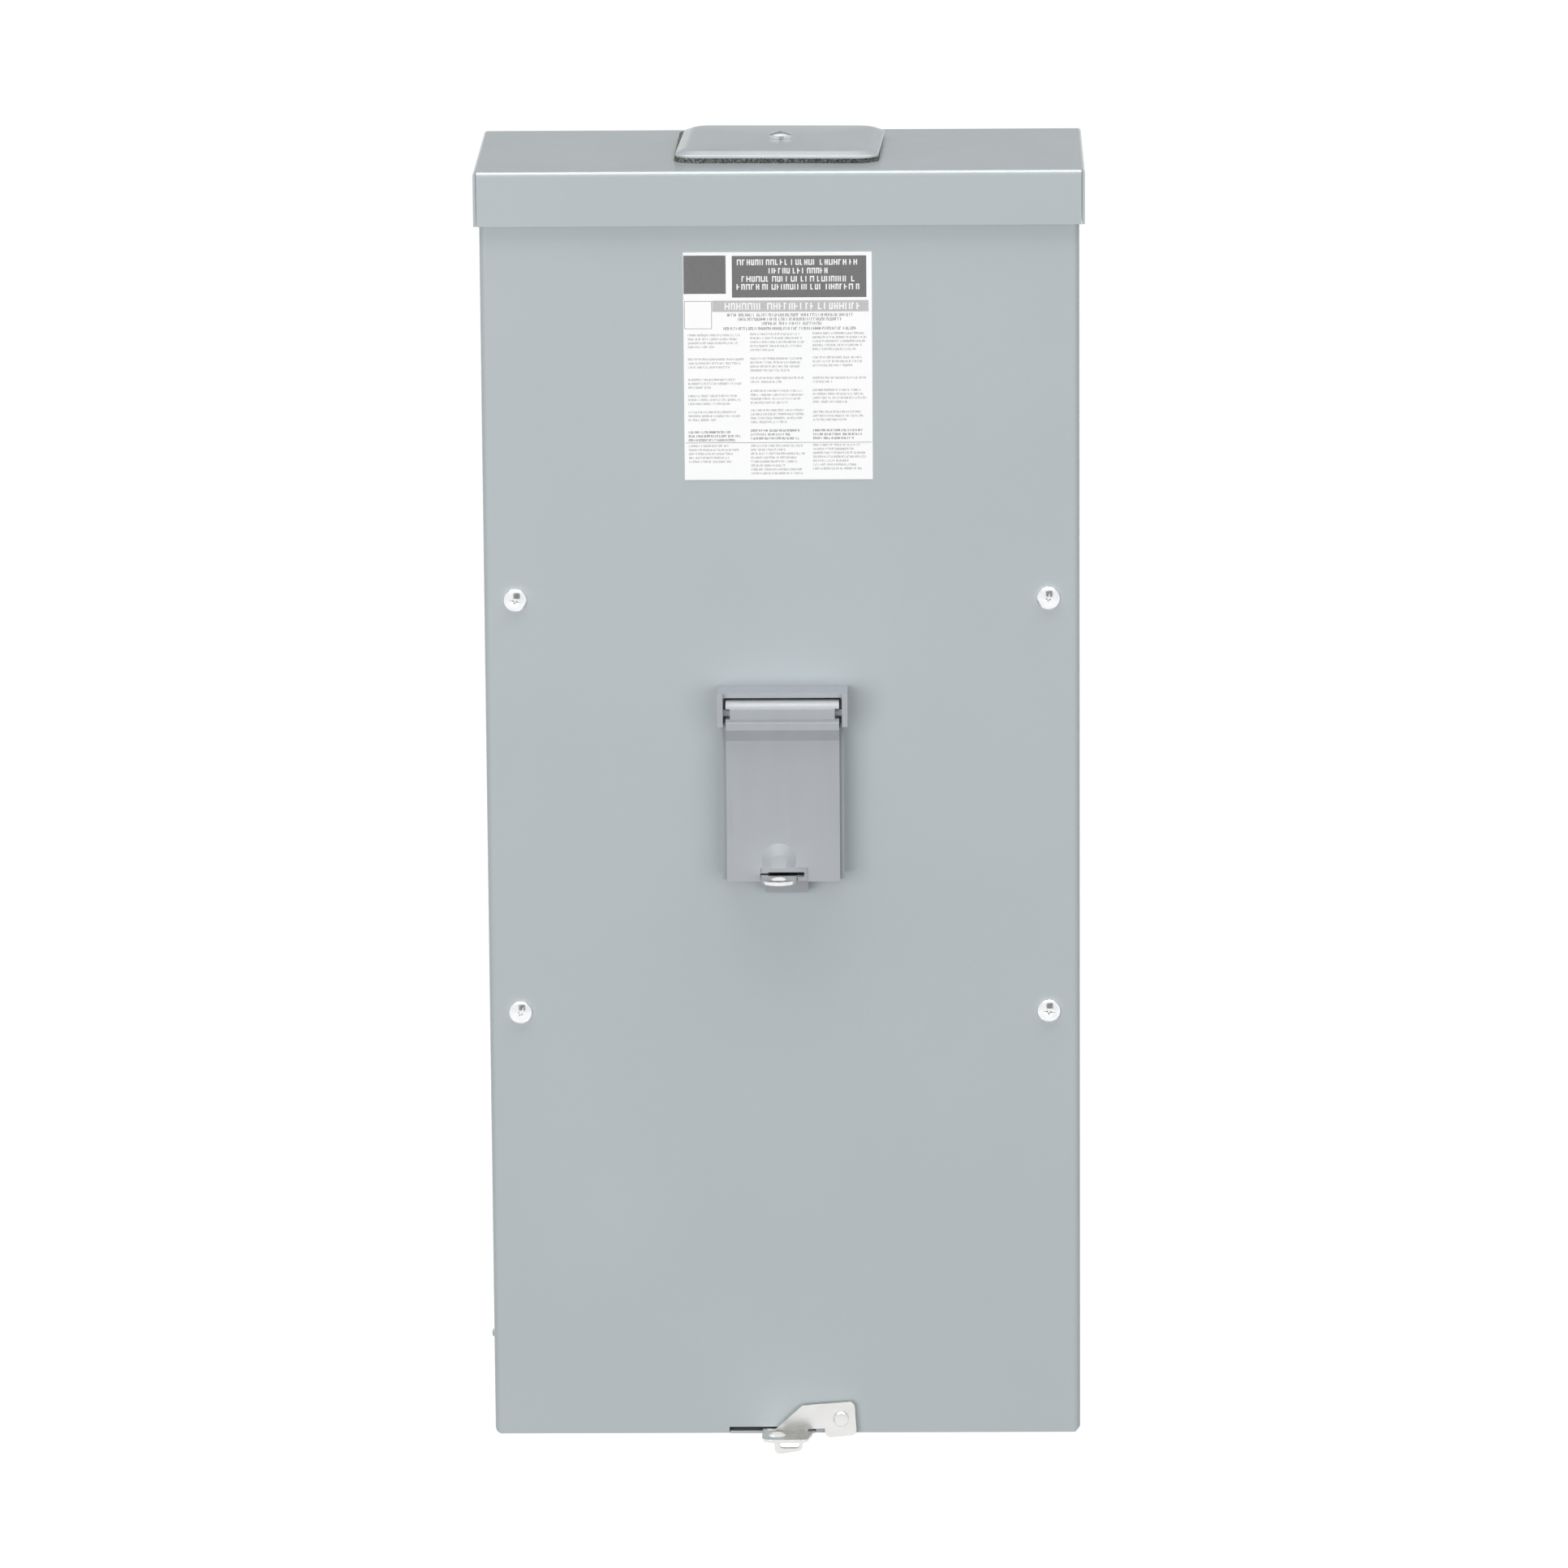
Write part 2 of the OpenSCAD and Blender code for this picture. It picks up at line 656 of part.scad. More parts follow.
// Frame around the handle window: floor, skirt, lid, and the two ears that carry the hinge stubs.
module flap_frame() color(plastic) placed() translate([flap_x, 0, 0]) {
  difference() {
    union() {
      span([-frame_half, cover_y - frame_floor_t, frame_low], [frame_half, cover_y, frame_top]);
      for (side = [-1, 1]) mirror([side < 0 ? 1 : 0, 0, 0]) {
        span([flap_half + slip, cover_y - skirt_front, frame_low], [frame_half, cover_y, frame_top]);
        span([frame_half - frame_t, cover_y - skirt_front, frame_low], [frame_half, cover_y, lap_top]);
        span([ear_in, cover_y - frame_front, ear_low], [ear_in + ear_t, cover_y, frame_top]);
      }
      span([-ear_in - ear_t, cover_y - lid_front, frame_top - frame_lid_t],
           [ear_in + ear_t, cover_y, frame_top]);
      span([-frame_half, cover_y - sill_front, frame_low], [frame_half, cover_y, frame_low + sill_t]);
      // lip below the flap, under the padlock tab
      across(lip_left, recess_right) polygon([[cover_y, lip_low], [cover_y - lip_front, lip_low],
        [cover_y - skirt_front + 0.5, lip_top], [cover_y - sill_front, lip_top],
        [cover_y - sill_front, frame_low + eps], [cover_y, frame_low + eps]]);
      for (x = [-1, 1], z = frame_screw_zs)
        rod_y(x * frame_screw_x, z, cover_y - frame_boss_front, cover_y, 3.1);
    }
    span([-window_half_w, cover_y - frame_floor_t - eps, breaker_z - window_half_h],
         [window_half_w, cover_y + eps, breaker_z + window_half_h]);
    for (side = [-1, 1]) mirror([side < 0 ? 1 : 0, 0, 0])
      rod_x(cover_y - hinge_y, hinge_z, ear_in - eps, ear_in + ear_t + eps, stub_r + run_play);
    for (x = [-1, 1], z = frame_screw_zs)
      rod_y(x * frame_screw_x, z, cover_y - frame_boss_front + 1, cover_y + eps,
            frame_screw_r + thread_play);
    for (x = [-1, 1])
      rod_y(tab_x - flap_x + x * tab_rivet_x, tab_rivet_z, cover_y - frame_floor_t - eps, cover_y + eps,
            tab_rivet_r + thread_play);
  }
}

// Four screws that hold the frame from behind the cover.
module frame_screws() color(zinc) placed() {
  for (x = [-1, 1], z = frame_screw_zs)
    translate([flap_x + x * frame_screw_x, cover_back_y, z]) rotate([-90, 0, 0])
      pan_screw(2.8, 1.8, frame_screw_r, sheet_t + frame_boss_front - 1.6);
}

// Side outline of the flap's panel, as [distance in front of the cover, height].
module flap_outline() {
  lower_break = hinge_z - 51.6;
  polygon([
    [hinge_y, stub_notch_top], [flap_front, stub_notch_top], [flap_front, hinge_z - 1.8],
    [flap_front - 0.5, hinge_z - 3.2],
    [flap_front - 0.1, hinge_z - 3.5], [flap_front - 0.1, hinge_z - 6.7],
    [flap_face + 0.1, hinge_z - 12.2],
    [flap_face - 0.5, lower_break], [flap_face + 0.3, flap_low],
    [flap_face + 0.3 - flap_t, flap_low], [flap_face - 0.5 - flap_t, lower_break],
    [flap_face + 0.1 - flap_t, hinge_z - 13.4], [flap_front - 3.4, hinge_z - 9],
    [flap_front - 3.6, hinge_z - 5], [hinge_y, hinge_z]]);
}

// Flap: barrel with hinge stubs, panel, side walls, raised boss and the slot for the tab.
module flap() color(plastic) placed() translate([flap_x, cover_y, 0]) mirror([0, 1, 0]) {
  tab_left = tab_x - flap_x - tab_w / 2 - tab_play;
  tab_right = tab_x - flap_x + tab_w / 2 + tab_play;
  tab_over = tab_top + tab_play;
  difference() {
    union() {
      rod_x(hinge_y, hinge_z, -flap_half, flap_half, barrel_r);
      rod_x(hinge_y, hinge_z, -ear_in - ear_t + 0.3, ear_in + ear_t - 0.3, stub_r);
      difference() {
        union() {
          across(-flap_half, flap_half) flap_outline();
          for (side = [-1, 1]) mirror([side < 0 ? 1 : 0, 0, 0])
            across(flap_wall_half - flap_wall_t, flap_wall_half) polygon([[flap_face - 0.5, flap_low],
              [flap_side_back, flap_low + 2], [flap_side_back, hinge_z - 20], [flap_face, hinge_z - 12.4]]);
          intersection() {
            translate([tab_x - flap_x, flap_face - 0.5, boss_z]) rotate([-90, 0, 0])
              cylinder(h = boss_h + 0.5, r1 = boss_r, r2 = boss_top_r);
            span([-20, 0, recess_top - 0.6], [20, 30, recess_top + 20]);
          }
        }
        // recess around the slot
        across(tab_left, recess_right) polygon([[flap_face - 0.5, recess_top],
          [30, recess_top + 1], [30, flap_low - 1], [flap_face + 0.3 - recess_d, flap_low - 1],
          [flap_face - 0.1 - recess_d, recess_top - 0.9]]);
        // slot, and the way for the tab as the flap swings up
        span([slot_left, flap_side_back, slot_low], [slot_right, 30, slot_top]);
        span([tab_left, flap_side_back, flap_low - 1], [tab_right, 30, tab_over]);
      }
    }
    // corners cut back at the stubs
    for (side = [-1, 1]) mirror([side < 0 ? 1 : 0, 0, 0]) difference() {
      span([flap_half - stub_notch_w, hinge_y - barrel_r - 1, stub_notch_low],
           [flap_half + eps, hinge_y + barrel_r + 1, stub_notch_top]);
      rod_x(hinge_y, hinge_z, flap_half - stub_notch_w - 1, flap_half + 1, stub_r);
    }
  }
}

// Padlock tab: plated angle, its plate passing out through the flap's slot.
module padlock_tab() color(zinc) placed() translate([tab_x, cover_y, 0]) {
  leg_front = frame_floor_t + tab_t;
  nose_y = tab_reach - tab_w / 2;
  difference() {
    union() {
      translate([0, 0, tab_low]) linear_extrude(tab_t) {
        translate([0, -nose_y]) circle(d = tab_w);
        translate([-tab_w / 2, -nose_y]) square([tab_w, nose_y - frame_floor_t]);
      }
      span([-tab_w / 2, -leg_front, tab_low], [tab_w / 2, -frame_floor_t, tab_rivet_z + 4]);
    }
    translate([0, -tab_lock, tab_low - eps]) cylinder(h = tab_t + 2 * eps, r = lock_r);
    for (x = [-1, 1])
      rod_y(x * tab_rivet_x, tab_rivet_z, -leg_front - eps, -frame_floor_t + eps,
            tab_rivet_r + thread_play);
  }
}

// Two rivets that hold the tab to the frame's floor.
module tab_rivets() color(zinc) placed() {
  head_y = cover_y - frame_floor_t - tab_t;
  for (x = [-1, 1]) {
    rod_y(tab_x + x * tab_rivet_x, tab_rivet_z, head_y - eps, cover_y - eps, tab_rivet_r);
    rod_y(tab_x + x * tab_rivet_x, tab_rivet_z, head_y - 0.9, head_y, 2.3);
  }
}

// ---------------------------------------------------------------- bottom latch

// Front outline of the latch arm, as [x, z] from the rivet.
module arm_outline() {
  corner_r = 2.4;
  offset(r = corner_r, $fn = 32) offset(delta = -corner_r) polygon([
    [-29.8, -5.4], [-17.5, 6.1], [6.0, 8.0], [7.0, -7.5], [-6.9, -8.7], [-7.3, -4.4],
    [-15.4, -4.7], [-17.0, -10.8], [-17.6, -14.6], [-29.8, -16.6]]);
}

// Latch arm: flat plate that turns on its rivet, with a lip and a seal slot at its free end.
module latch_arm() color(zinc) placed() {
  difference() {
    translate([rivet_x, 0, rivet_z]) facing(arm_front_y, arm_back_y) arm_outline();
    rod_y(rivet_x, rivet_z, arm_front_y - eps, arm_back_y + eps, rivet_r + run_play);
    translate([rivet_x - 23, 0, rivet_z - 12.1]) facing(arm_front_y - eps, arm_back_y + eps) {
      for (x = [-1, 1]) translate([x * seal_half, 0]) circle(r = seal_r);
      square([2 * seal_half, 2 * seal_r], center = true);
    }
  }
}

// Rivet that the latch arm turns on.
module latch_rivet() color(zinc) placed() {
  head_y = arm_front_y - slip;
  rod_y(rivet_x, rivet_z, head_y - eps, cover_back_y + eps, rivet_r);
  translate([rivet_x, head_y, rivet_z]) rotate([90, 0, 0]) rotate_extrude() polygon([[0, 0],
    [rivet_head_r, 0], [rivet_head_r, 0.5], [rivet_head_r * 0.8, rivet_head_h * 0.85], [0, rivet_head_h]]);
  rod_y(rivet_x, rivet_z, cover_back_y, cover_back_y + 1.2, rivet_head_r);
}

// Spacer washer between the cover and the latch arm.
module latch_spacer() color(zinc) placed() {
  difference() {
    rod_y(rivet_x, rivet_z, cover_y - spacer_t, cover_y, 4.6);
    rod_y(rivet_x, rivet_z, cover_y - spacer_t - eps, cover_y + eps, rivet_r + thread_play);
  }
}

// Plan of the hasp: its nose is rounded on the left and drawn in more gradually on the right.
module hasp_outline() {
  left = [-hasp_r + hasp_left_r, cover_y - hasp_reach + hasp_left_r];
  right = [hasp_r - hasp_cut - hasp_right_r, cover_y - hasp_reach + hasp_right_r];
  wide = [hasp_r, cover_y - 8];
  turn = atan2(wide[1] - right[1], wide[0] - right[0]) - acos(hasp_right_r / norm(wide - right));
  translate(left) circle(r = hasp_left_r);
  translate(right) circle(r = hasp_right_r);
  polygon([[-hasp_r, cover_y + hasp_in], [-hasp_r, left[1]], left, [left[0], cover_y - hasp_reach],
    [right[0], cover_y - hasp_reach], right, right + hasp_right_r * [cos(turn), sin(turn)],
    wide, [hasp_r, cover_y + hasp_in]]);
}

// Bottom hasp: plate on the bottom wall that reaches out through the cover's notch.
module bottom_hasp() color(zinc) placed() translate([0, 0, hasp_low]) {
  difference() {
    linear_extrude(hasp_t) difference() {
      hasp_outline();
      translate([-hasp_slot_half, cover_y - arm_y - arm_t / 2 - arm_play])
        square([2 * hasp_slot_half, arm_t + 2 * arm_play]);
    }
    translate([hasp_lock_x, cover_y - hasp_lock_y, -eps]) cylinder(h = hasp_t + 2 * eps, r = hasp_lock_r);
    for (x = hasp_rivet_xs) translate([x, hasp_rivet_y, -eps])
      cylinder(h = hasp_t + 2 * eps, r = hasp_rivet_r + thread_play);
  }
}

// Two rivets that hold the hasp to the bottom wall.
module hasp_rivets() color(zinc) placed() {
  for (x = hasp_rivet_xs) translate([x, hasp_rivet_y, 0]) {
    translate([0, 0, floor_low]) cylinder(h = hasp_top - floor_low + eps, r = hasp_rivet_r);
    translate([0, 0, hasp_top]) cylinder(h = 1, r = 2.6);
  }
}

// ---------------------------------------------------------------- breaker

// Mounting pan: hat section that carries the breaker off the back wall.
module mounting_pan() color(zinc) placed() {
  difference() {
    translate([0, 0, breaker_z]) across(-pan_w / 2, pan_w / 2) {
      translate([breaker_back_y, -pan_half_h]) square([pan_t, 2 * pan_half_h]);
      for (s = [-1, 1]) mirror([0, s < 0 ? 1 : 0]) {
        translate([breaker_back_y, pan_half_h - pan_t]) square([-breaker_back_y - sheet_t, pan_t]);
        translate([-sheet_t - pan_t, pan_half_h - pan_t]) square([pan_t, pan_foot]);
      }
    }
    for (x = [-1, 1], z = [-1, 1]) {
      rod_y(x * stud_x, breaker_z + z * stud_z, -sheet_t - pan_t - eps, -sheet_t + eps, stud_r + hole_play);
      rod_y(x * breaker_screw_x, breaker_z + z * breaker_screw_z, breaker_back_y - eps,
            breaker_back_y + pan_t + eps, breaker_screw_r + thread_play);
    }
  }
}

// Studs welded to the back wall for the pan.
module pan_studs() color(zinc) placed() {
  for (x = [-1, 1], z = [-1, 1])
    rod_y(x * stud_x, breaker_z + z * stud_z, -sheet_t - stud_len, -sheet_t, stud_r);
}

// Nuts on the pan's studs.
module pan_nuts() color(zinc) placed() {
  for (x = [-1, 1], z = [-1, 1]) hex_nut(x * stud_x, breaker_z + z * stud_z, -sheet_t - pan_t);
}

// The hollow in the breaker that the toggle's drum turns in.
module drum_space() {
  rod_x(toggle_pivot_y, breaker_z, -drum_half_w - drum_play, drum_half_w + drum_play, drum_r + drum_play);
}

// Moulded base with a pocket for each lug.
module breaker_base() color(moulding) placed() {
  difference() {
    span([-breaker_w / 2, toggle_pivot_y, breaker_z - breaker_h / 2],
         [breaker_w / 2, breaker_back_y, breaker_z + breaker_h / 2]);
    for (x = poles, s = [-1, 1]) translate([x, 0, breaker_z]) mirror([0, 0, s < 0 ? 1 : 0])
      span([-lug_w / 2 - lug_play, toggle_pivot_y - eps, breaker_h / 2 - lug_h - lug_play],
           [lug_w / 2 + lug_play, lug_back_y, breaker_h / 2 + eps]);
    drum_space();
    for (x = [-1, 1], z = [-1, 1])
      rod_y(x * breaker_screw_x, breaker_z + z * breaker_screw_z, toggle_pivot_y - eps,
            breaker_back_y + eps, breaker_screw_r + hole_play);
    rod_x(toggle_pivot_y, breaker_z, -pin_half - thread_play, pin_half + thread_play, pin_r + run_play);
  }
}

// Moulded cover: deck over the lugs, raised centre, and the escutcheon around the toggle.
module breaker_cover() color(moulding) placed() {
  handle_half = 17.5;
  difference() {
    union() {
      span([-breaker_w / 2, breaker_deck_y, breaker_z - breaker_h / 2],
           [breaker_w / 2, toggle_pivot_y, breaker_z + breaker_h / 2]);
      span([-breaker_w / 2, breaker_face_y, breaker_z - centre_half_h],
           [breaker_w / 2, breaker_deck_y + eps, breaker_z + centre_half_h]);
      span([-escutcheon_half_w, escutcheon_y, breaker_z - escutcheon_half_h + 2],
           [escutcheon_half_w, breaker_face_y + eps, breaker_z + escutcheon_half_h - 2]);
    }
    drum_space();
    span([-toggle_half_w - 0.6, escutcheon_y - eps, breaker_z - handle_half],
         [toggle_half_w + 0.6, toggle_pivot_y - 20, breaker_z + handle_half]);
    for (x = [-1, 1], z = [-1, 1])
      rod_y(x * breaker_screw_x, breaker_z + z * breaker_screw_z, breaker_deck_y - eps,
            toggle_pivot_y + eps, breaker_screw_r + hole_play);
    for (x = poles, s = [-1, 1])
      rod_y(x, breaker_z + s * (breaker_h / 2 - lug_h / 2), breaker_deck_y - eps, toggle_pivot_y + eps,
            lug_screw_r + 1);
    rod_x(toggle_pivot_y, breaker_z, -pin_half - thread_play, pin_half + thread_play, pin_r + run_play);
    rod_y(button_x, breaker_z + button_z, breaker_face_y - eps, breaker_face_y + 11, button_r + run_play);
  }
}

// Four long screws through the breaker into the pan.
module breaker_screws() color(zinc) placed() {
  for (x = [-1, 1], z = [-1, 1])
    front_screw(x * breaker_screw_x, breaker_z + z * breaker_screw_z, breaker_deck_y, 4, 2.4,
                breaker_screw_r, breaker_back_y + pan_t - breaker_deck_y + 2, 20 * x);
}

// Toggle: drum and handle on the pivot pin, drawn at the off position.
module breaker_toggle() color(moulding) placed() {
  translate([0, toggle_pivot_y, breaker_z]) rotate([toggle_throw / 2, 0, 0]) difference() {
    union() {
      intersection() {
        rod_x(0, 0, -drum_half_w, drum_half_w, drum_r);
        across(-drum_half_w, drum_half_w) polygon([[9, 9], [9, -9], [-32, -17], [-32, 17]]);
      }
      across(-toggle_half_w, toggle_half_w) {
        polygon([[-24, -6.5], [-toggle_tip + 4.5, -4.5], [-toggle_tip + 4.5, 4.5], [-24, 6.5]]);
        translate([-toggle_tip + 4.5, 0]) circle(r = 4.5);
      }
    }
    rod_x(0, 0, -drum_half_w - eps, drum_half_w + eps, pin_r + run_play);
  }
}

// Steel pin that the toggle turns on.
module toggle_pin() color(zinc) placed() rod_x(toggle_pivot_y, breaker_z, -pin_half, pin_half, pin_r);

// Push-to-trip button.
module trip_button() color([0.75, 0.12, 0.1]) placed()
  rod_y(button_x, breaker_z + button_z, breaker_face_y - 1.6, breaker_face_y + 11 - button_travel - 0.4,
        button_r);

// Three box lugs; s is 1 for the line end and -1 for the load end.
module lugs(s) {
  for (x = poles) translate([x, 0, breaker_z]) mirror([0, 0, s < 0 ? 1 : 0]) difference() {
    span([-lug_w / 2, lug_back_y - lug_d, breaker_h / 2 - lug_h], [lug_w / 2, lug_back_y, breaker_h / 2]);
    translate([0, lug_back_y - lug_d / 2, breaker_h / 2 - lug_h - eps])
      cylinder(h = lug_h + 2 * eps, r = lug_wire_r);
    rod_y(0, breaker_h / 2 - lug_h / 2, lug_back_y - lug_d - eps, lug_back_y - lug_d / 2,
          lug_screw_r + thread_play);
  }
}

// Line-side lugs, at the top.
module line_lugs() color(alloy) placed() lugs(1);

// Load-side lugs, at the bottom.
module load_lugs() color(alloy) placed() lugs(-1);

// Socket set screws in the six lugs.
module lug_screws() color(alloy) placed() {
  for (x = poles, s = [-1, 1]) translate([x, lug_back_y - lug_d, breaker_z + s * (breaker_h - lug_h) / 2])
    rotate([90, 0, 0]) difference() {
      translate([0, 0, -4]) cylinder(h = 11, r = lug_screw_r);
      translate([0, 0, 3]) cylinder(h = 5, r = 2.6, $fn = 6);
    }
}

// ---------------------------------------------------------------- neutral and ground

// A terminal bar standing along Z: body with cross holes, and blind threads for its screws.
module terminal_bar(x, z, len, y_back) {
  count = floor((len - 12) / bar_pitch);
  difference() {
    span([x - bar_w / 2, y_back - bar_d, z - len / 2], [x + bar_w / 2, y_back, z + len / 2]);
    for (i = [0:count - 1]) {
      zi = z + (i - (count - 1) / 2) * bar_pitch;
      rod_x(y_back - bar_d / 2, zi, x - bar_w / 2 - eps, x + bar_w / 2 + eps, bar_hole_r);
      rod_y(x, zi, y_back - bar_d - eps, y_back - bar_d / 2, bar_screw_r + thread_play);
    }
  }
}

// The screws of a terminal bar, slotted heads towards the front.
module terminal_screws(x, z, len, y_back) {
  count = floor((len - 12) / bar_pitch);
  for (i = [0:count - 1]) translate([x, y_back - bar_d, z + (i - (count - 1) / 2) * bar_pitch])
    rotate([90, 0, 0]) difference() {
      translate([0, 0, -3]) cylinder(h = 6.5, r = bar_screw_r);
      translate([-bar_screw_r, -0.5, 2]) cube([2 * bar_screw_r, 1, 3]);
    }
}

// Insulating block that holds the neutral bar off the back wall.
module neutral_insulator() color(moulding) placed() {
  difference() {
    span([neutral_x - bar_w / 2 - 6, -sheet_t - neutral_base_d, neutral_z - neutral_len / 2 - 6],
         [neutral_x + bar_w / 2 + 6, -sheet_t, neutral_z + neutral_len / 2 + 6]);
    span([neutral_x - bar_w / 2 - slip, -sheet_t - neutral_base_d - eps, neutral_z - neutral_len / 2 - slip],
         [neutral_x + bar_w / 2 + slip, neutral_back_y, neutral_z + neutral_len / 2 + slip]);
  }
}

// Neutral bar, seated in its insulator.
module neutral_bar() color(alloy) placed()
  terminal_bar(neutral_x, neutral_z, neutral_len, neutral_back_y);

// Wire screws of the neutral bar.
module neutral_screws() color(zinc) placed()
  terminal_screws(neutral_x, neutral_z, neutral_len, neutral_back_y);

// Ground bar on two feet that stand on the back wall.
module ground_bar() color(alloy) placed() {
  terminal_bar(ground_x, ground_z, ground_len, -sheet_t - ground_foot_d);
  for (s = [-1, 1])
    rod_y(ground_x, ground_z + s * (ground_len / 2 - 6), -sheet_t - ground_foot_d - eps, -sheet_t, 5);
}

// Wire screws of the ground bar.
module ground_screws() color(zinc) placed()
  terminal_screws(ground_x, ground_z, ground_len, -sheet_t - ground_foot_d);

back_box();
bottom_wall();
rain_hood();
closing_plate();
closing_gasket();
closing_screw();
clamp_bar();
front_cover();
cover_screws();
cover_clip_nuts();
side_rivet();
label();
flap_frame();
frame_screws();
flap();
padlock_tab();
tab_rivets();
latch_arm();
latch_rivet();
latch_spacer();
bottom_hasp();
hasp_rivets();
mounting_pan();
pan_studs();
pan_nuts();
breaker_base();
breaker_cover();
breaker_screws();
breaker_toggle();
toggle_pin();
trip_button();
line_lugs();
load_lugs();
lug_screws();
neutral_insulator();
neutral_bar();
neutral_screws();
ground_bar();
ground_screws();
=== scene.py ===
import json
import math
import random

import bmesh
import bpy
from mathutils import Matrix, Vector, noise

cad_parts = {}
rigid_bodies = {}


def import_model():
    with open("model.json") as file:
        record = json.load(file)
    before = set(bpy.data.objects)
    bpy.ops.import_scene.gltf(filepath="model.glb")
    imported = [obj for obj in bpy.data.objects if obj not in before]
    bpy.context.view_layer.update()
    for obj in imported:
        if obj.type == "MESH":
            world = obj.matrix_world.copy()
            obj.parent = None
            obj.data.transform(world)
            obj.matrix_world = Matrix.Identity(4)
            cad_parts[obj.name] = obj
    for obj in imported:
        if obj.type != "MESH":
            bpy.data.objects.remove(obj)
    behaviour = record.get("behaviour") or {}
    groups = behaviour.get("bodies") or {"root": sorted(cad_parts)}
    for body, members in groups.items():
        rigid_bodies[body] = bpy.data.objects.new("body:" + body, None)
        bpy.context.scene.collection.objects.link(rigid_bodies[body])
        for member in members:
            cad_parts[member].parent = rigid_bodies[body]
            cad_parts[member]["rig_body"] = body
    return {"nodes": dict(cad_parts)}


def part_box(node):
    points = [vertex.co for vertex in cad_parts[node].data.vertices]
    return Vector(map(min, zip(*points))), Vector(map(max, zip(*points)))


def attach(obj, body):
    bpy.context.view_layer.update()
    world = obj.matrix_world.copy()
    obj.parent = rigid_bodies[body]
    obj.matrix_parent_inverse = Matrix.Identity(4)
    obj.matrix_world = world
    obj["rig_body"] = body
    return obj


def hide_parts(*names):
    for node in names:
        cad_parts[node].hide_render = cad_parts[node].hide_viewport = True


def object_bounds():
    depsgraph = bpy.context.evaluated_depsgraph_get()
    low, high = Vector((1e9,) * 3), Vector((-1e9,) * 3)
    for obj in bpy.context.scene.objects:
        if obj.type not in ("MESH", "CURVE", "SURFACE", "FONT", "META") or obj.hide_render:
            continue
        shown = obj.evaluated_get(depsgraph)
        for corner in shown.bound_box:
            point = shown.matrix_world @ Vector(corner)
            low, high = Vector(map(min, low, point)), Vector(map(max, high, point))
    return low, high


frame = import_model()
cad_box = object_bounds()
MM = 0.001


# ---------------------------------------------------------------- camera

# Place in metres, angles in radians (turned left, tipped down, rolled), and lens in millimetres.
CAMERA_AT = (0.0675, -4.416, 0.9619)
CAMERA_ANGLES = (0.0156, 0.2174, 0.0073)
CAMERA_LENS, CAMERA_SENSOR = 229.52, 36.0


def set_camera():
    """The photograph's viewpoint: from the front and 12 degrees above, with a long lens."""
    turn, pitch, roll = CAMERA_ANGLES
    m = Matrix.Rotation(turn, 3, "Z") @ Matrix.Rotation(-pitch, 3, "X") @ Matrix.Rotation(roll, 3, "Y")
    right, ahead, up = m.col[0], m.col[1], m.col[2]
    pose = Matrix((right, up, -ahead)).transposed().to_4x4()
    pose.translation = Vector(CAMERA_AT)
    data = bpy.data.cameras.new("camera")
    data.lens, data.sensor_width = CAMERA_LENS, CAMERA_SENSOR
    data.clip_start, data.clip_end = 0.05, 100.0
    cam = bpy.data.objects.new("camera", data)
    cam.matrix_world = pose
    bpy.context.scene.collection.objects.link(cam)
    bpy.context.scene.camera = cam


# ---------------------------------------------------------------- materials

def srgb(*levels):
    """A colour written in 0-255 screen levels, as linear RGBA."""
    out = []
    for v in levels:
        c = v / 255
        out.append(c / 12.92 if c <= 0.04045 else ((c + 0.055) / 1.055) ** 2.4)
    return (*out, 1.0)


def scaled(colour, k):
    """The colour made k times as bright."""
    return (*(min(1.0, c * k) for c in colour[:3]), 1.0)


class Shader:
    """A Principled material and the few procedural nodes that the finishes here share."""

    def __init__(self, name, **values):
        self.mat = bpy.data.materials.new(name)
        self.mat.use_nodes = True
        self.nodes, self.links = self.mat.node_tree.nodes, self.mat.node_tree.links
        self.bsdf = self.nodes["Principled BSDF"]
        self.coord = self.nodes.new("ShaderNodeTexCoord").outputs["Object"]
        for key, value in values.items():
            self.bsdf.inputs[key.replace("_", " ")].default_value = value

    def node(self, kind, inputs, **settings):
        n = self.nodes.new("ShaderNode" + kind)
        for key, value in settings.items():
            setattr(n, key, value)
        for key, value in inputs.items():
            if isinstance(value, bpy.types.NodeSocket):
                self.links.new(value, n.inputs[key])
            else:
                n.inputs[key].default_value = value
        return n

    def noise(self, size, detail=3.0, stretch=(1, 1, 1), rough=0.5):
        """Noise with features of about that size in millimetres, drawn out along an axis by stretch."""
        at = self.node("Mapping", {"Vector": self.coord, "Scale": [1 / s for s in stretch]}).outputs[0]
        inputs = {"Vector": at, "Scale": 1000.0 / size, "Detail": detail, "Roughness": rough}
        return self.node("TexNoise", inputs).outputs[0]

    def cells(self, size):
        inputs = {"Vector": self.coord, "Scale": 1000.0 / size}
        return self.node("TexVoronoi", inputs).outputs["Distance"]

    def spread(self, value, low, high, start=0.3, end=0.7):
        """value's range start..end mapped to low..high."""
        inputs = {"Value": value, "From Min": start, "From Max": end, "To Min": low, "To Max": high}
        return self.node("MapRange", inputs).outputs[0]

    def mix(self, factor, a, b, blend="MIX"):
        return self.node("Mix", {0: factor, 6: a, 7: b}, data_type="RGBA", blend_type=blend).outputs[2]

    def bump(self, height, depth, strength, below=None):
        """Relief of depth millimetres, on top of another relief."""
        inputs = {"Height": height, "Distance": depth * MM, "Strength": strength}
        if below is not None:
            inputs["Normal"] = below
        return self.node("Bump", inputs).outputs[0]

    def put(self, **sockets):
        for key, value in sockets.items():
            self.links.new(value, self.bsdf.inputs[key.replace("_", " ")])
        return self.mat


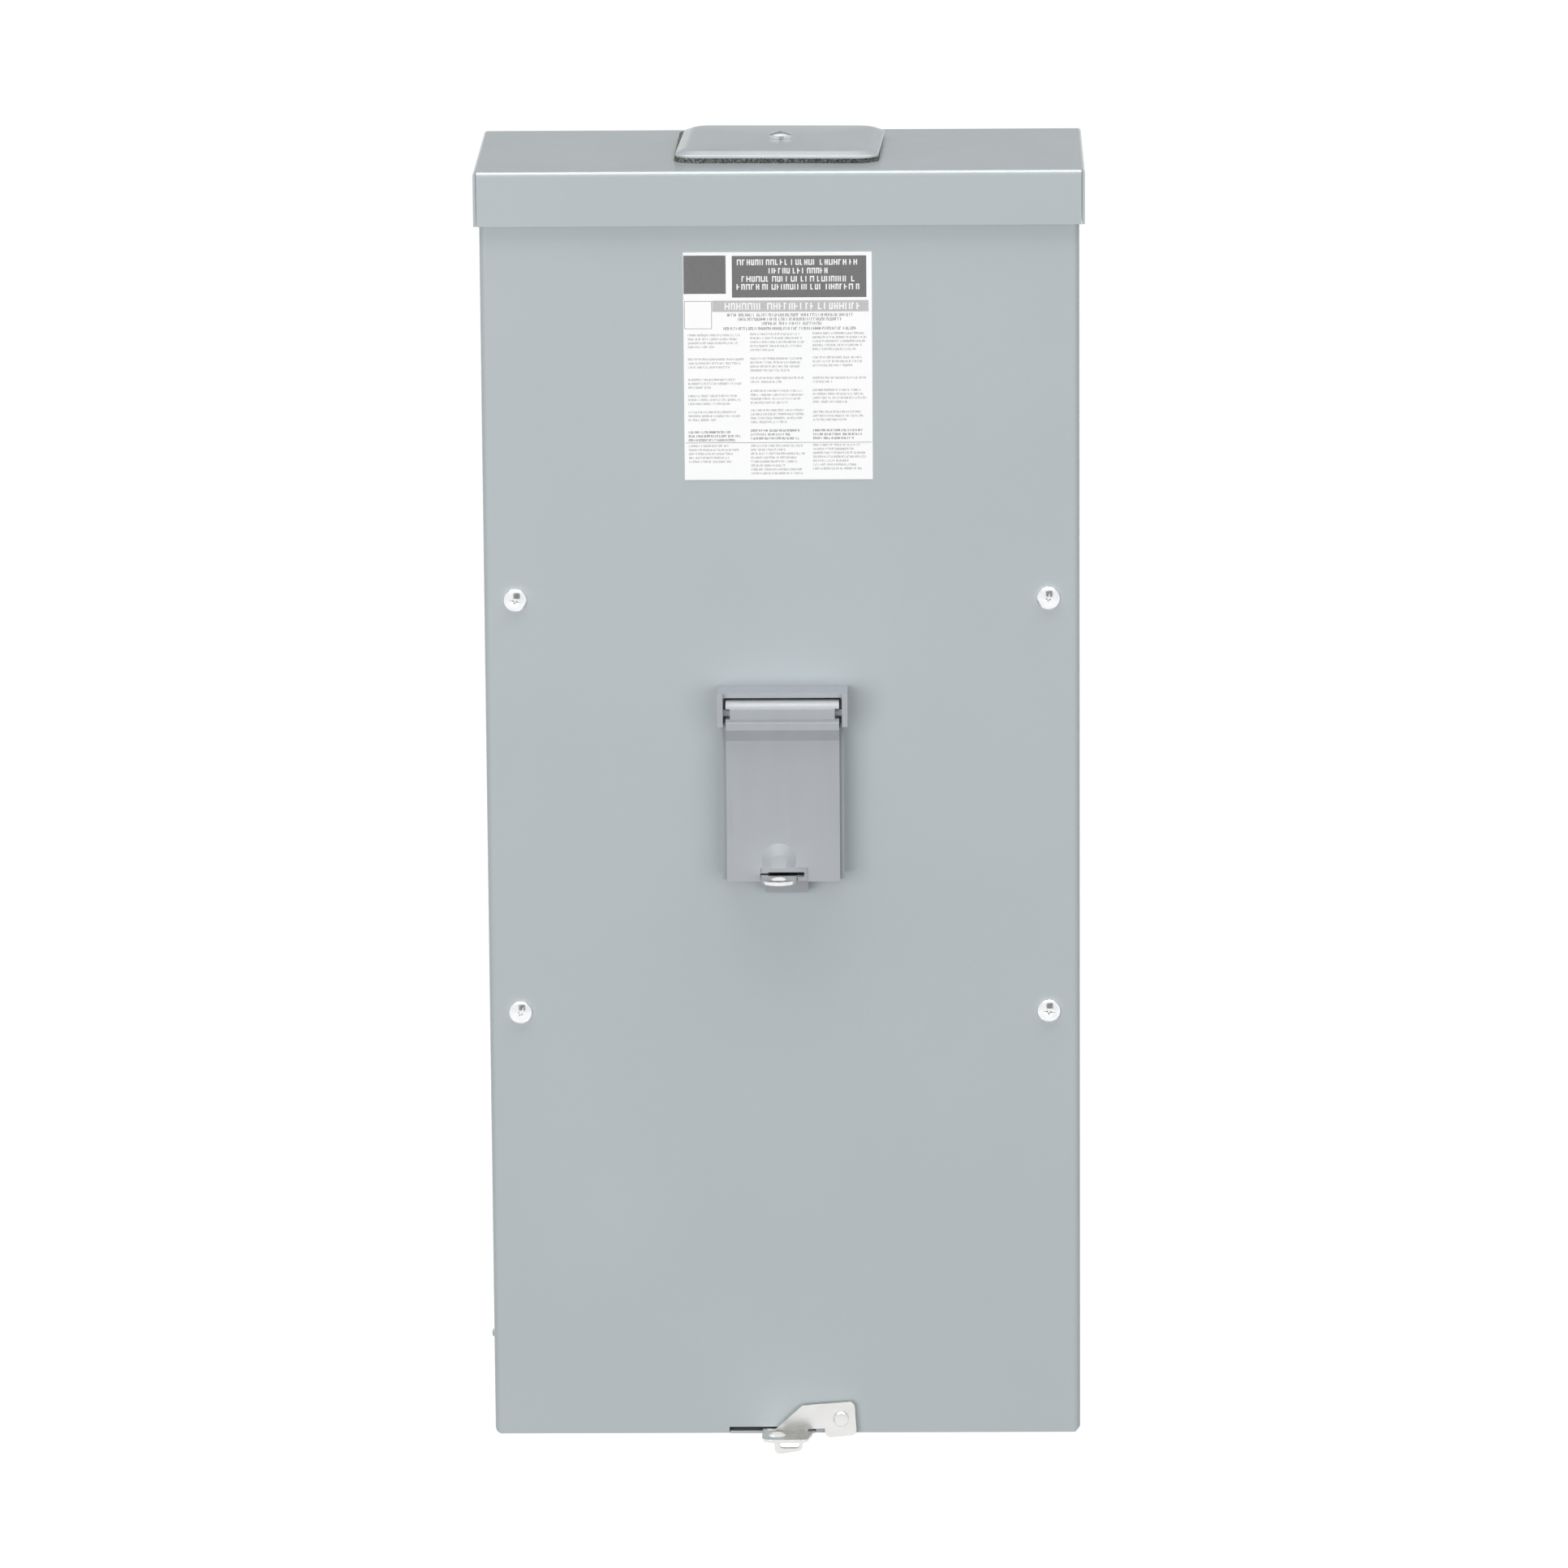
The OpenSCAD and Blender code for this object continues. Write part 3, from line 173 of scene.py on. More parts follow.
def enamel():
    """Baked grey enamel on sheet steel: soft gloss, faint orange peel, slight cloudiness."""
    grey = srgb(181, 189, 192)
    s = Shader("grey_enamel", Coat_Weight=0.45, Coat_Roughness=0.16, Specular_IOR_Level=0.35)
    clouds = s.mix(s.spread(s.noise(90), 0, 1), scaled(grey, 0.985), scaled(grey, 1.012))
    flecks = s.mix(s.spread(s.noise(0.9, 2), 0, 1), (0.985, 0.985, 0.985, 1), (1, 1, 1, 1))
    colour = s.mix(1.0, clouds, flecks, "MULTIPLY")
    peel = s.bump(s.noise(2.6, 2), 0.05, 0.16)
    grain = s.bump(s.noise(0.35, 3), 0.02, 0.10, peel)
    return s.put(Base_Color=colour, Roughness=s.spread(s.noise(25), 0.36, 0.46), Normal=grain)


def satin_plastic():
    """Moulded polycarbonate in a warmer grey, with a fine texture and faint flow lines."""
    grey = srgb(173, 177, 182)
    s = Shader("grey_plastic", Specular_IOR_Level=0.42)
    flow = s.spread(s.noise(14, 3, (0.5, 1, 4)), 0, 1)
    colour = s.mix(flow, scaled(grey, 0.975), scaled(grey, 1.02))
    texture = s.bump(s.noise(0.28, 3), 0.02, 0.14)
    return s.put(Base_Color=colour, Roughness=s.spread(s.noise(6), 0.34, 0.46), Normal=texture)


def bright_zinc():
    """Bright zinc on fasteners: mirror-like with faint blue cast, tool marks and dull spots."""
    s = Shader("bright_zinc", Metallic=1.0)
    colour = s.mix(s.spread(s.noise(3), 0, 1), srgb(232, 234, 236), srgb(244, 245, 245))
    marks = s.bump(s.noise(0.3, 3, (1, 4, 1)), 0.006, 0.12)
    return s.put(Base_Color=colour, Roughness=s.spread(s.noise(1.5), 0.13, 0.22), Normal=marks)


def satin_plate():
    """Satin plated steel stampings: even, nearly white, slightly mottled, finely blasted."""
    s = Shader("satin_plate", Metallic=1.0)
    colour = s.mix(s.spread(s.noise(9, 3), 0, 1), srgb(219, 218, 216), srgb(226, 226, 224))
    blast = s.bump(s.noise(0.3, 3), 0.01, 0.16)
    return s.put(Base_Color=colour, Roughness=s.spread(s.noise(5), 0.26, 0.34), Normal=blast)


def bright_plate():
    """The same plating on a tumbled, shinier stamping."""
    s = Shader("bright_plate", Metallic=1.0)
    colour = s.mix(s.spread(s.noise(5), 0, 1), srgb(224, 224, 222), srgb(234, 234, 233))
    marks = s.bump(s.noise(0.5, 3), 0.008, 0.1)
    return s.put(Base_Color=colour, Roughness=s.spread(s.noise(3), 0.09, 0.16), Normal=marks)


def foam():
    """Open-cell gasket foam: charcoal, with pale broken cell walls."""
    s = Shader("charcoal_foam", Specular_IOR_Level=0.15, Roughness=0.95)
    cells = s.cells(1.1)
    dark = s.mix(s.spread(cells, 0, 1, 0.15, 0.6), srgb(44, 46, 44), srgb(104, 106, 101))
    colour = s.mix(s.spread(s.noise(0.8, 4), 0, 1, 0.53, 0.68), dark, srgb(160, 163, 155))
    pores = s.bump(cells, 0.35, 0.9)
    return s.put(Base_Color=colour, Normal=pores)


def film():
    """White vinyl label film."""
    s = Shader("label_film", Specular_IOR_Level=0.4)
    colour = s.mix(s.spread(s.noise(20), 0, 1), srgb(252, 253, 253), srgb(255, 255, 255))
    ripple = s.bump(s.noise(6, 2), 0.03, 0.12)
    return s.put(Base_Color=colour, Roughness=s.spread(s.noise(9), 0.3, 0.4), Normal=ripple)


def ink(name, level):
    """Printed ink, slightly uneven."""
    s = Shader(name, Specular_IOR_Level=0.35)
    tone = srgb(level, level, level + 1)
    colour = s.mix(s.spread(s.noise(1.2, 4), 0, 1), scaled(tone, 0.93), scaled(tone, 1.05))
    return s.put(Base_Color=colour, Roughness=s.spread(s.noise(4), 0.32, 0.42))


def thermoset():
    """Dark glass-filled moulding compound with faint fibre flecks."""
    s = Shader("dark_moulding", Specular_IOR_Level=0.4)
    base = s.mix(s.spread(s.noise(8), 0, 1), srgb(42, 43, 45), srgb(52, 53, 55))
    colour = s.mix(s.spread(s.noise(0.6, 4, (1, 1, 3)), 0, 1, 0.6, 0.78), base, srgb(78, 79, 80))
    grain = s.bump(s.noise(0.5, 3), 0.03, 0.2)
    return s.put(Base_Color=colour, Roughness=s.spread(s.noise(4), 0.4, 0.55), Normal=grain)


def red_plastic():
    s = Shader("red_button", Specular_IOR_Level=0.45)
    colour = s.mix(s.spread(s.noise(2), 0, 1), srgb(176, 34, 28), srgb(198, 44, 36))
    return s.put(Base_Color=colour, Roughness=s.spread(s.noise(1.5), 0.28, 0.4),
                 Normal=s.bump(s.noise(0.3), 0.01, 0.15))


def tinned_alloy():
    """Extruded aluminium with a tin finish: fine draw lines along the extrusion."""
    s = Shader("tinned_alloy", Metallic=1.0)
    lines = s.noise(0.35, 4, (1, 1, 30))
    colour = s.mix(s.spread(lines, 0, 1), srgb(186, 188, 190), srgb(214, 215, 216))
    return s.put(Base_Color=colour, Roughness=s.spread(s.noise(2.5), 0.3, 0.46),
                 Normal=s.bump(lines, 0.015, 0.25))


# ---------------------------------------------------------------- mesh helpers

def linked(name, bm):
    """A new object in the scene, made from bm, which is freed."""
    mesh = bpy.data.meshes.new(name)
    bm.to_mesh(mesh)
    bm.free()
    obj = bpy.data.objects.new(name, mesh)
    bpy.context.scene.collection.objects.link(obj)
    return obj


def add_piece(name, bm, material, body, nodes=()):
    """Links bm as a piece that rides on a body and stands for CAD nodes."""
    bm.normal_update()
    obj = linked(name, bm)
    obj.data.materials.clear()
    obj.data.materials.append(material)
    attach(obj, body)
    if nodes:
        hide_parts(*nodes)
    return obj


def smooth(obj, degrees=32):
    """Smooth shading, with the edges above the angle kept sharp."""
    mesh = obj.data
    mesh.polygons.foreach_set("use_smooth", [True] * len(mesh.polygons))
    mesh.set_sharp_from_angle(angle=math.radians(degrees))


def baked(obj):
    """Applies obj's modifiers."""
    graph = bpy.context.evaluated_depsgraph_get()
    mesh = bpy.data.meshes.new_from_object(obj.evaluated_get(graph), depsgraph=graph)
    obj.modifiers.clear()
    obj.data = mesh


def rounded(obj, width, degrees, crisp):
    """Rolls every sharp edge to a small radius and keeps the flats flat. crisp marks edges kept sharp."""
    bevel = obj.modifiers.new("bevel", "BEVEL")
    bevel.width, bevel.segments = width * MM, 2
    bevel.limit_method, bevel.angle_limit = "ANGLE", math.radians(degrees)
    bevel.miter_outer = "MITER_ARC"
    baked(obj)
    obj.data.polygons.foreach_set("use_smooth", [True] * len(obj.data.polygons))
    if crisp:
        crisp(obj)
    normals = obj.modifiers.new("normals", "WEIGHTED_NORMAL")
    normals.weight, normals.keep_sharp = 100, True
    baked(obj)


# Points closer than WELD are one, and edges shorter than SLIVER go, in metres. Faces within FLAT degrees
# are one flat.
WELD, SLIVER, FLAT = 2e-6, 1e-6, 0.6


def cad_solid(node):
    """A CAD node's mesh joined up, with each flat face in one piece."""
    bm = bmesh.new()
    bm.from_mesh(frame["nodes"][node].data)
    bmesh.ops.remove_doubles(bm, verts=bm.verts, dist=WELD)
    bmesh.ops.dissolve_degenerate(bm, edges=bm.edges, dist=SLIVER)
    bmesh.ops.dissolve_limit(bm, angle_limit=math.radians(FLAT), verts=bm.verts, edges=bm.edges)
    return bm


def refined(node, width, material, degrees=28, crisp=None):
    """A CAD node with its edges rolled to the radius that the real piece shows."""
    body = frame["nodes"][node]["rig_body"]
    obj = add_piece(node + "_shown", cad_solid(node), material, body, [node])
    rounded(obj, width, degrees, crisp)


def bridge(bm, ring_a, ring_b):
    """Faces between two closed rings of as many points."""
    n = len(ring_a)
    for i in range(n):
        bm.faces.new((ring_a[i], ring_a[(i + 1) % n], ring_b[(i + 1) % n], ring_b[i]))


# ---------------------------------------------------------------- stage

def light_path_switch(tree):
    """A socket that is 1 for rays that show the background: camera, glossy and transmission."""
    path = tree.nodes.new("ShaderNodeLightPath")
    total = path.outputs["Is Camera Ray"]
    for name in ("Is Glossy Ray", "Is Transmission Ray"):
        add = tree.nodes.new("ShaderNodeMath")
        add.operation = "MAXIMUM"
        tree.links.new(total, add.inputs[0])
        tree.links.new(path.outputs[name], add.inputs[1])
        total = add.outputs[0]
    return total


# How bright the world is as light and as the background, how far the floor lies below the object in
# metres, its tone, and how bright it shows.
WORLD_LIGHT, WORLD_SHOWN = 0.25, 1.0
FLOOR_DROP, FLOOR_TONE, FLOOR_SHOWN = 0.6, 0.12, 0.98


def aim(obj, offset):
    """Puts obj at that offset from the object's middle, with its -Z towards it."""
    obj.location = (cad_box[0] + cad_box[1]) / 2 + Vector(offset)
    obj.rotation_euler = Vector(offset).to_track_quat("Z", "Y").to_euler()


def studio_flag(name, offset, size, level):
    """A grey card that only mirror-like surfaces see, such as the dark one in a screw's head."""
    bm = bmesh.new()
    bmesh.ops.create_grid(bm, x_segments=1, y_segments=1, size=0.5)
    bmesh.ops.scale(bm, vec=(*size, 1), verts=bm.verts)
    card = linked(name, bm)
    mat = bpy.data.materials.new(name)
    mat.use_nodes = True
    bsdf = mat.node_tree.nodes["Principled BSDF"]
    bsdf.inputs["Base Color"].default_value = (0, 0, 0, 1)
    bsdf.inputs["Specular IOR Level"].default_value = 0
    bsdf.inputs["Emission Color"].default_value = (1, 1, 1, 1)
    bsdf.inputs["Emission Strength"].default_value = level
    card.data.materials.append(mat)
    card.visible_camera = card.visible_diffuse = card.visible_shadow = card.visible_transmission = False
    aim(card, offset)


def set_stage():
    """A white surround and floor, soft lamps from all sides, and two cards for the bright metal."""
    scene = bpy.context.scene
    scene.view_settings.view_transform = "Standard"

    world = bpy.data.worlds.new("studio")
    scene.world = world
    world.use_nodes = True
    tree = world.node_tree
    background = tree.nodes["Background"]
    background.inputs["Color"].default_value = (1, 1, 1, 1)
    level = tree.nodes.new("ShaderNodeMapRange")
    level.inputs["To Min"].default_value = WORLD_LIGHT
    level.inputs["To Max"].default_value = WORLD_SHOWN
    tree.links.new(light_path_switch(tree), level.inputs["Value"])
    tree.links.new(level.outputs[0], background.inputs["Strength"])

    bm = bmesh.new()
    bmesh.ops.create_circle(bm, cap_ends=True, segments=96, radius=40)
    floor = linked("floor", bm)
    floor.location.z = cad_box[0].z - FLOOR_DROP
    mat = bpy.data.materials.new("pale_floor")
    mat.use_nodes = True
    tree = mat.node_tree
    bsdf = tree.nodes["Principled BSDF"]
    bsdf.inputs["Base Color"].default_value = (FLOOR_TONE, FLOOR_TONE, FLOOR_TONE, 1)
    bsdf.inputs["Roughness"].default_value = 0.9
    bsdf.inputs["Specular IOR Level"].default_value = 0.1
    bsdf.inputs["Emission Color"].default_value = (1, 1, 1, 1)
    lift = tree.nodes.new("ShaderNodeMath")
    lift.operation = "MULTIPLY"
    lift.inputs[1].default_value = FLOOR_SHOWN
    tree.links.new(light_path_switch(tree), lift.inputs[0])
    tree.links.new(lift.outputs[0], bsdf.inputs["Emission Strength"])
    floor.data.materials.append(mat)

    # Name, offset from the object's middle, size, power, and whether matt and mirror-like surfaces show it.
    for name, offset, size, power, diffuse, glossy in (
            ("overhead", (0.1, -0.6, 2.2), (3.0, 0.8), 27, True, False),
            ("overhead_sheen", (0, -0.1, 2.2), (3.2, 1.7), 140, False, True),
            ("soft_left", (-1.35, -3.3, 0.25), (2.2, 1.8), 63, True, False),
            ("soft_right", (1.5, -3.3, 0.3), (2.2, 1.8), 37, True, False),
            ("back_left", (-2.2, 2.6, 0.1), (1.4, 2.0), 60, True, False),
            ("back_right", (2.2, 2.6, 0.1), (1.4, 2.0), 60, True, False)):
        data = bpy.data.lights.new(name, "AREA")
        data.shape, data.size, data.size_y, data.energy = "RECTANGLE", *size, power
        lamp = bpy.data.objects.new(name, data)
        scene.collection.objects.link(lamp)
        lamp.visible_diffuse, lamp.visible_glossy = diffuse, glossy
        aim(lamp, offset)
    for name, offset, size, level in (
            ("front_flag", (0.4, -2.6, 1.35), (2.4, 2.2), 0.26),
            ("back_flag", (0, 3.3, 1.75), (7.0, 2.3), 0.35)):
        studio_flag(name, offset, size, level)


# ---------------------------------------------------------------- pieces

def loop_points(w, l, r, count):
    """count points evenly along a rounded rectangle centred on the origin, anticlockwise."""
    sides = [w - 2 * r, l - 2 * r]
    total = 2 * sum(sides) + 2 * math.pi * r
    corners = [(sx * (w / 2 - r), sy * (l / 2 - r)) for sx, sy in ((1, 1), (-1, 1), (-1, -1), (1, -1))]
    points = []
    for i in range(count):
        s = total * i / count
        for k, (cx, cy) in enumerate(corners):
            arc, side = math.pi * r / 2, sides[k % 2]
            if s < arc:
                a = k * math.pi / 2 + s / r
                points.append((cx + r * math.cos(a), cy + r * math.sin(a)))
                break
            s -= arc
            if s < side:
                a = (k + 1) * math.pi / 2
                out_x, out_y = math.cos(a), math.sin(a)
                points.append((cx + r * out_x - s * out_y, cy + r * out_y + s * out_x))
                break
            s -= side
    return points


def rings_to_solid(rings):
    """A closed solid from rings of points, each joined to the next and the last to the first."""
    bm = bmesh.new()
    loops = [[bm.verts.new(p) for p in ring] for ring in rings]
    for a, b in zip(loops, loops[1:] + loops[:1]):
        bridge(bm, a, b)
    bmesh.ops.recalc_face_normals(bm, faces=bm.faces)
    return bm


def turned(bm, centre, degrees):
    """Turns a mesh drawn round the origin, in millimetres, and puts it at centre, in metres."""
    place = Matrix.Translation(centre) @ Matrix.Rotation(math.radians(degrees), 4, "Z") @ Matrix.Scale(MM, 4)
    bmesh.ops.transform(bm, verts=bm.verts, matrix=place)
    return bm


# The hub's closing plate and its gasket, in millimetres and degrees: width, depth and corner radius, the
# screw hole, and how far each is turned or shifted from true.
HUB_Y = -56.0
PLATE_SIZE = (89.0, 82.0, 9.0)
PLATE_HOLE = 3.3
PLATE_TURN = -2.2
SHEET = 1.2
GASKET_OVERHANG = 0.5
GASKET_HOLE = 0.34  # radius of the gasket's hole over its width
GASKET_SHIFT, GASKET_TURN = (-0.8, 1.0), -0.8
CORNER_FALL = 0.45  # how much a corner's radius shrinks per millimetre of inset


def closing_plate(paint):
    """Formed cap: a short edge, a rim that rolls up to a flat top, and the hollow below."""
    w, l, r = PLATE_SIZE
    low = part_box("closing_plate")[0].z
    count = 160
    profile = [(0, 0), (0, 0.75), (0.12, 1.0), (0.4, 1.18), (1.2, 1.5), (2.4, 2.02), (3.3, 2.4),
               (4.0, 2.64), (4.7, 2.76), (5.6, 2.8)]
    rings = []
    for inset, z in profile:
        points = loop_points(w - 2 * inset, l - 2 * inset, r - inset * CORNER_FALL, count)
        rings.append([(x, y, z) for x, y in points])
    top, under = profile[-1][1], profile[-1][1] - SHEET
    turns = [math.atan2(y, x) for x, y, _ in rings[-1]]
    for z in (top, under):
        rings.append([(PLATE_HOLE * math.cos(a), PLATE_HOLE * math.sin(a), z) for a in turns])
    for inset, z in ((6.6, under), (4.4, 0.9), (2.2, 0.15), (SHEET, 0)):
        points = loop_points(w - 2 * inset, l - 2 * inset, r - inset * CORNER_FALL, count)
        rings.append([(x, y, z) for x, y in points])
    bm = turned(rings_to_solid(rings), (0, HUB_Y * MM, low), PLATE_TURN)
    obj = add_piece("closing_plate_shown", bm, paint, frame["nodes"]["closing_plate"]["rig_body"],
                    ["closing_plate"])
    smooth(obj, 40)


def closing_gasket(soft):
    """Die-cut foam ring whose edge is torn a little by its open cells."""
    low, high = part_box("closing_gasket")
    w, l, r = PLATE_SIZE[0] + 2 * GASKET_OVERHANG, PLATE_SIZE[1] + 2 * GASKET_OVERHANG, PLATE_SIZE[2]
    thick = (high.z - low.z) / MM
    count, layers = 420, 6
    edge = loop_points(w, l, r, count)
    rings = []
    for k in range(layers):
        z = thick * k / (layers - 1)
        ring = []
        for x, y in edge:
            at = Vector((x, y, z))
            torn = 0.25 + 0.42 * noise.noise(at / 1.3) + 0.2 * noise.noise(at / 0.5)
            pull = 1 - max(0.0, torn) / math.hypot(x, y)
            ring.append((x * pull, y * pull, z))
        rings.append(ring)
    hole = (high.x - low.x) / MM * GASKET_HOLE
    turns = [math.atan2(y, x) for x, y in edge]
    for z in (thick, 0):
        rings.append([(hole * math.cos(a), hole * math.sin(a), z) for a in turns])
    shift_x, shift_y = GASKET_SHIFT
    bm = turned(rings_to_solid(rings), (shift_x * MM, (HUB_Y + shift_y) * MM, low.z), GASKET_TURN)
    obj = add_piece("closing_gasket_shown", bm, soft, frame["nodes"]["closing_gasket"]["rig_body"],
                    ["closing_gasket"])
    smooth(obj, 60)


def cut_by(obj, cutters):
    """Takes the cutters' volume out of obj."""
    for cutter in cutters:
        mod = obj.modifiers.new("cut", "BOOLEAN")
        mod.operation, mod.object, mod.solver = "DIFFERENCE", cutter, "EXACT"
        baked(obj)
        bpy.data.objects.remove(cutter)


def block(size, centre, turn):
    """A scratch box in millimetres, turned about Z, used only to cut another piece."""
    bm = bmesh.new()
    bmesh.ops.create_cube(bm, size=1)
    place = (Matrix.Rotation(math.radians(turn), 4, "Z") @ Matrix.Translation(centre)
             @ Matrix.Diagonal((*size, 1)))
    bmesh.ops.transform(bm, verts=bm.verts, matrix=place)
    return linked("cutter", bm)


# Pan heads in millimetres: radius and height, the share of the height that is a plain side, and the shank.
COVER_SCREW = {"head_r": 4.95, "head_h": 3.0, "side_part": 0.36, "shank_r": 2.4}
COVER_SHANK = 14
HUB_SCREW = {"head_r": 5.2, "head_h": 2.7, "side_part": 0.56, "shank_r": 2.9}
HUB_SCREW_TURN = 35
# The slot's length over the head's radius, its width, and its cutter's middle over the head's height.
SLOT_SPAN, SLOT_W, SLOT_MIDDLE = 1.62, 0.42, 1.26
CROSS_SPAN, CROSS_W = 2.3, 0.75


def pan_screw_mesh(head_r, head_h, side_part, shank_r, shank_len, turn):
    """Domed pan head with a fine slot and a deeper, small cross in it, on a plain shank, in millimetres."""
    side, cap = side_part * head_h, (1 - side_part) * head_h
    profile = [(shank_r, -shank_len), (shank_r, 0), (0.97 * head_r, 0), (head_r, 0.04 * head_h),
               (head_r, side)]
    sphere_r = (head_r ** 2 + cap ** 2) / (2 * cap)
    for k in range(12):
        radius = head_r * (0.985 - 0.082 * k)
        profile.append((radius, head_h - sphere_r + math.sqrt(sphere_r ** 2 - radius ** 2)))
    bm = bmesh.new()
    count = 72
    loops = []
    for radius, z in profile:
        loops.append([bm.verts.new((radius * math.cos(t), radius * math.sin(t), z))
                      for t in (2 * math.pi * i / count for i in range(count))])
    for a, b in zip(loops, loops[1:]):
        bridge(bm, a, b)
    bm.faces.new(loops[0][::-1])
    tip = bm.verts.new((0, 0, head_h))
    for i in range(count):
        bm.faces.new((loops[-1][i], loops[-1][(i + 1) % count], tip))
    obj = linked("screw", bm)
    cut_by(obj, [block((SLOT_SPAN * head_r, SLOT_W, head_h), (0, 0, head_h * SLOT_MIDDLE), turn),
                 block((CROSS_SPAN, CROSS_W, head_h), (0, 0, head_h), turn),
                 block((CROSS_SPAN, CROSS_W, head_h), (0, 0, head_h), turn + 90)])
    mesh = obj.data
    bpy.data.objects.remove(obj)
    return mesh


def screws(name, zinc, places, shank_len, head):
    """One piece made of alike screws. A place is (matrix of a screw's seat, turn of its slot)."""
    bm = bmesh.new()
    for seat, turn in places:
        part = bmesh.new()
        part.from_mesh(pan_screw_mesh(shank_len=shank_len, turn=turn, **head))
        bmesh.ops.transform(part, verts=part.verts, matrix=seat @ Matrix.Scale(MM, 4))
        mesh = bpy.data.meshes.new("part")
        part.to_mesh(mesh)
        part.free()
        bm.from_mesh(mesh)
        bpy.data.meshes.remove(mesh)
    obj = add_piece(name + "_shown", bm, zinc, frame["nodes"][name]["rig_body"], [name])
    smooth(obj, 38)


def cover_screws(zinc):
    """The four screws of the front cover, each stopped with its slot at its own angle."""
    low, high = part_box("cover_screws")
    seat_y = low.y + COVER_SCREW["head_h"] * MM
    facing = Matrix.Rotation(math.radians(90), 4, "X")
    reach = COVER_SCREW["head_r"] * MM
    left, right, bottom, top = low.x + reach, high.x - reach, low.z + reach, high.z - reach
    places = []
    for x, z, turn in ((left, top, -12), (right, top, 78), (left, bottom, 60), (right, bottom, -6)):
        places.append((Matrix.Translation((x, seat_y, z)) @ facing, turn))
    screws("cover_screws", zinc, places, COVER_SHANK, COVER_SCREW)


def closing_screw(zinc):
    """The one screw of the closing plate, which runs down to the clamp bar."""
    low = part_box("closing_screw")[0]
    seat = Matrix.Translation((0, HUB_Y * MM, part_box("closing_plate")[1].z))
    shank_len = (seat.translation.z - low.z) / MM
    screws("closing_screw", zinc, [(seat, HUB_SCREW_TURN)], shank_len, HUB_SCREW)


# The label: everything printed on it is plain blocks and letter-like strokes, with no wording. Millimetres
# from the label's top left corner: a line is (y, left, right), a paragraph (y of its first line, lines), a
# column (left, its paragraphs, its dark lines at the foot), and a lower block (left, y, lines).
INK_THICK = 0.03
HEAD_INK, PALE_INK, BAND_INK, DARK_INK, GREY_INK = 117, 253, 196, 110, 128
# Type: a letter's height, and a stroke's width over that height.
HEAD_TYPE, BAND_TYPE = (2.5, 0.2), (3.0, 0.2)
BOLD_TYPE, DARK_TYPE, GREY_TYPE = (1.3, 0.15), (1.0, 0.2), (0.95, 0.13)
HEADER_LINES = ((4.45, 23.5, 76.5), (8.2, 37.3, 62.7), (11.8, 25.5, 74.2), (15.3, 23.3, 76.9))
BOLD_LINES = ((27.7, 19.1, 74.2), (29.6, 23.9, 69.7), (31.5, 34.2, 60.0), (33.7, 17.5, 76.0))
COLUMNS = (
    (1.9, ((36.6, 4), (47.3, 3), (56.3, 3), (63.5, 3), (70.7, 3)), (79.6, 3)),
    (29.1, ((36.2, 5), (47.0, 4), (55.6, 2), (61.3, 4), (69.9, 4)), (78.9, 3)),
    (56.3, ((35.9, 5), (46.6, 3), (55.6, 2), (61.0, 4), (70.7, 3)), (78.9, 3)))
LOWER_BLOCKS = ((1.9, 85.7, 5), (29.1, 85.7, 8), (56.3, 85.4, 7))
COLUMN_W = 24.0
LINE_PITCH = 1.75


class Print:
    """Collects what is printed in one ink, in millimetres from the label's top left corner."""

    def __init__(self, level):
        low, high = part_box("label")
        self.corner = Vector((low.x, low.y, high.z))
        self.bm = bmesh.new()
        self.level = level

    def block(self, x0, x1, y0, y1, lift=0.0):
        """A rectangle of ink. lift raises it onto the ink below."""
        front, back = [], []
        for x, y in ((x0, y0), (x0, y1), (x1, y1), (x1, y0)):
            front.append(self.bm.verts.new(self.corner + Vector((x, -INK_THICK - lift, -y)) * MM))
            back.append(self.bm.verts.new(self.corner + Vector((x, -lift, -y)) * MM))
        self.bm.faces.new(front)
        self.bm.faces.new(back[::-1])
        bridge(self.bm, back, front)

    def letters(self, rng, x0, x1, y, kind, lift=0.0):
        """A line of letter-like strokes, spaced as words, with y at its middle."""
        height, weight = kind
        x, left = x0, rng.randint(4, 8)
        while x < x1 - 0.3 * height:
            width = height * rng.uniform(0.34, 0.56)
            stem = height * weight
            self.block(x, x + stem, y - height / 2, y + height / 2, lift)
            if rng.random() < 0.75:
                bar = rng.choice((-0.4, 0.0, 0.4)) * height
                self.block(x + stem, x + width, y + bar - stem / 2, y + bar + stem / 2, lift)
            if rng.random() < 0.6:
                self.block(x + width, x + width + stem, y - height / 2, y + height / 2, lift)
            left -= 1
            x += width + stem + height * (0.16 if left else 0.5)
            left = left or rng.randint(4, 9)

    def done(self, name):
        add_piece(name, self.bm, ink(name, self.level), frame["nodes"]["label"]["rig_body"])


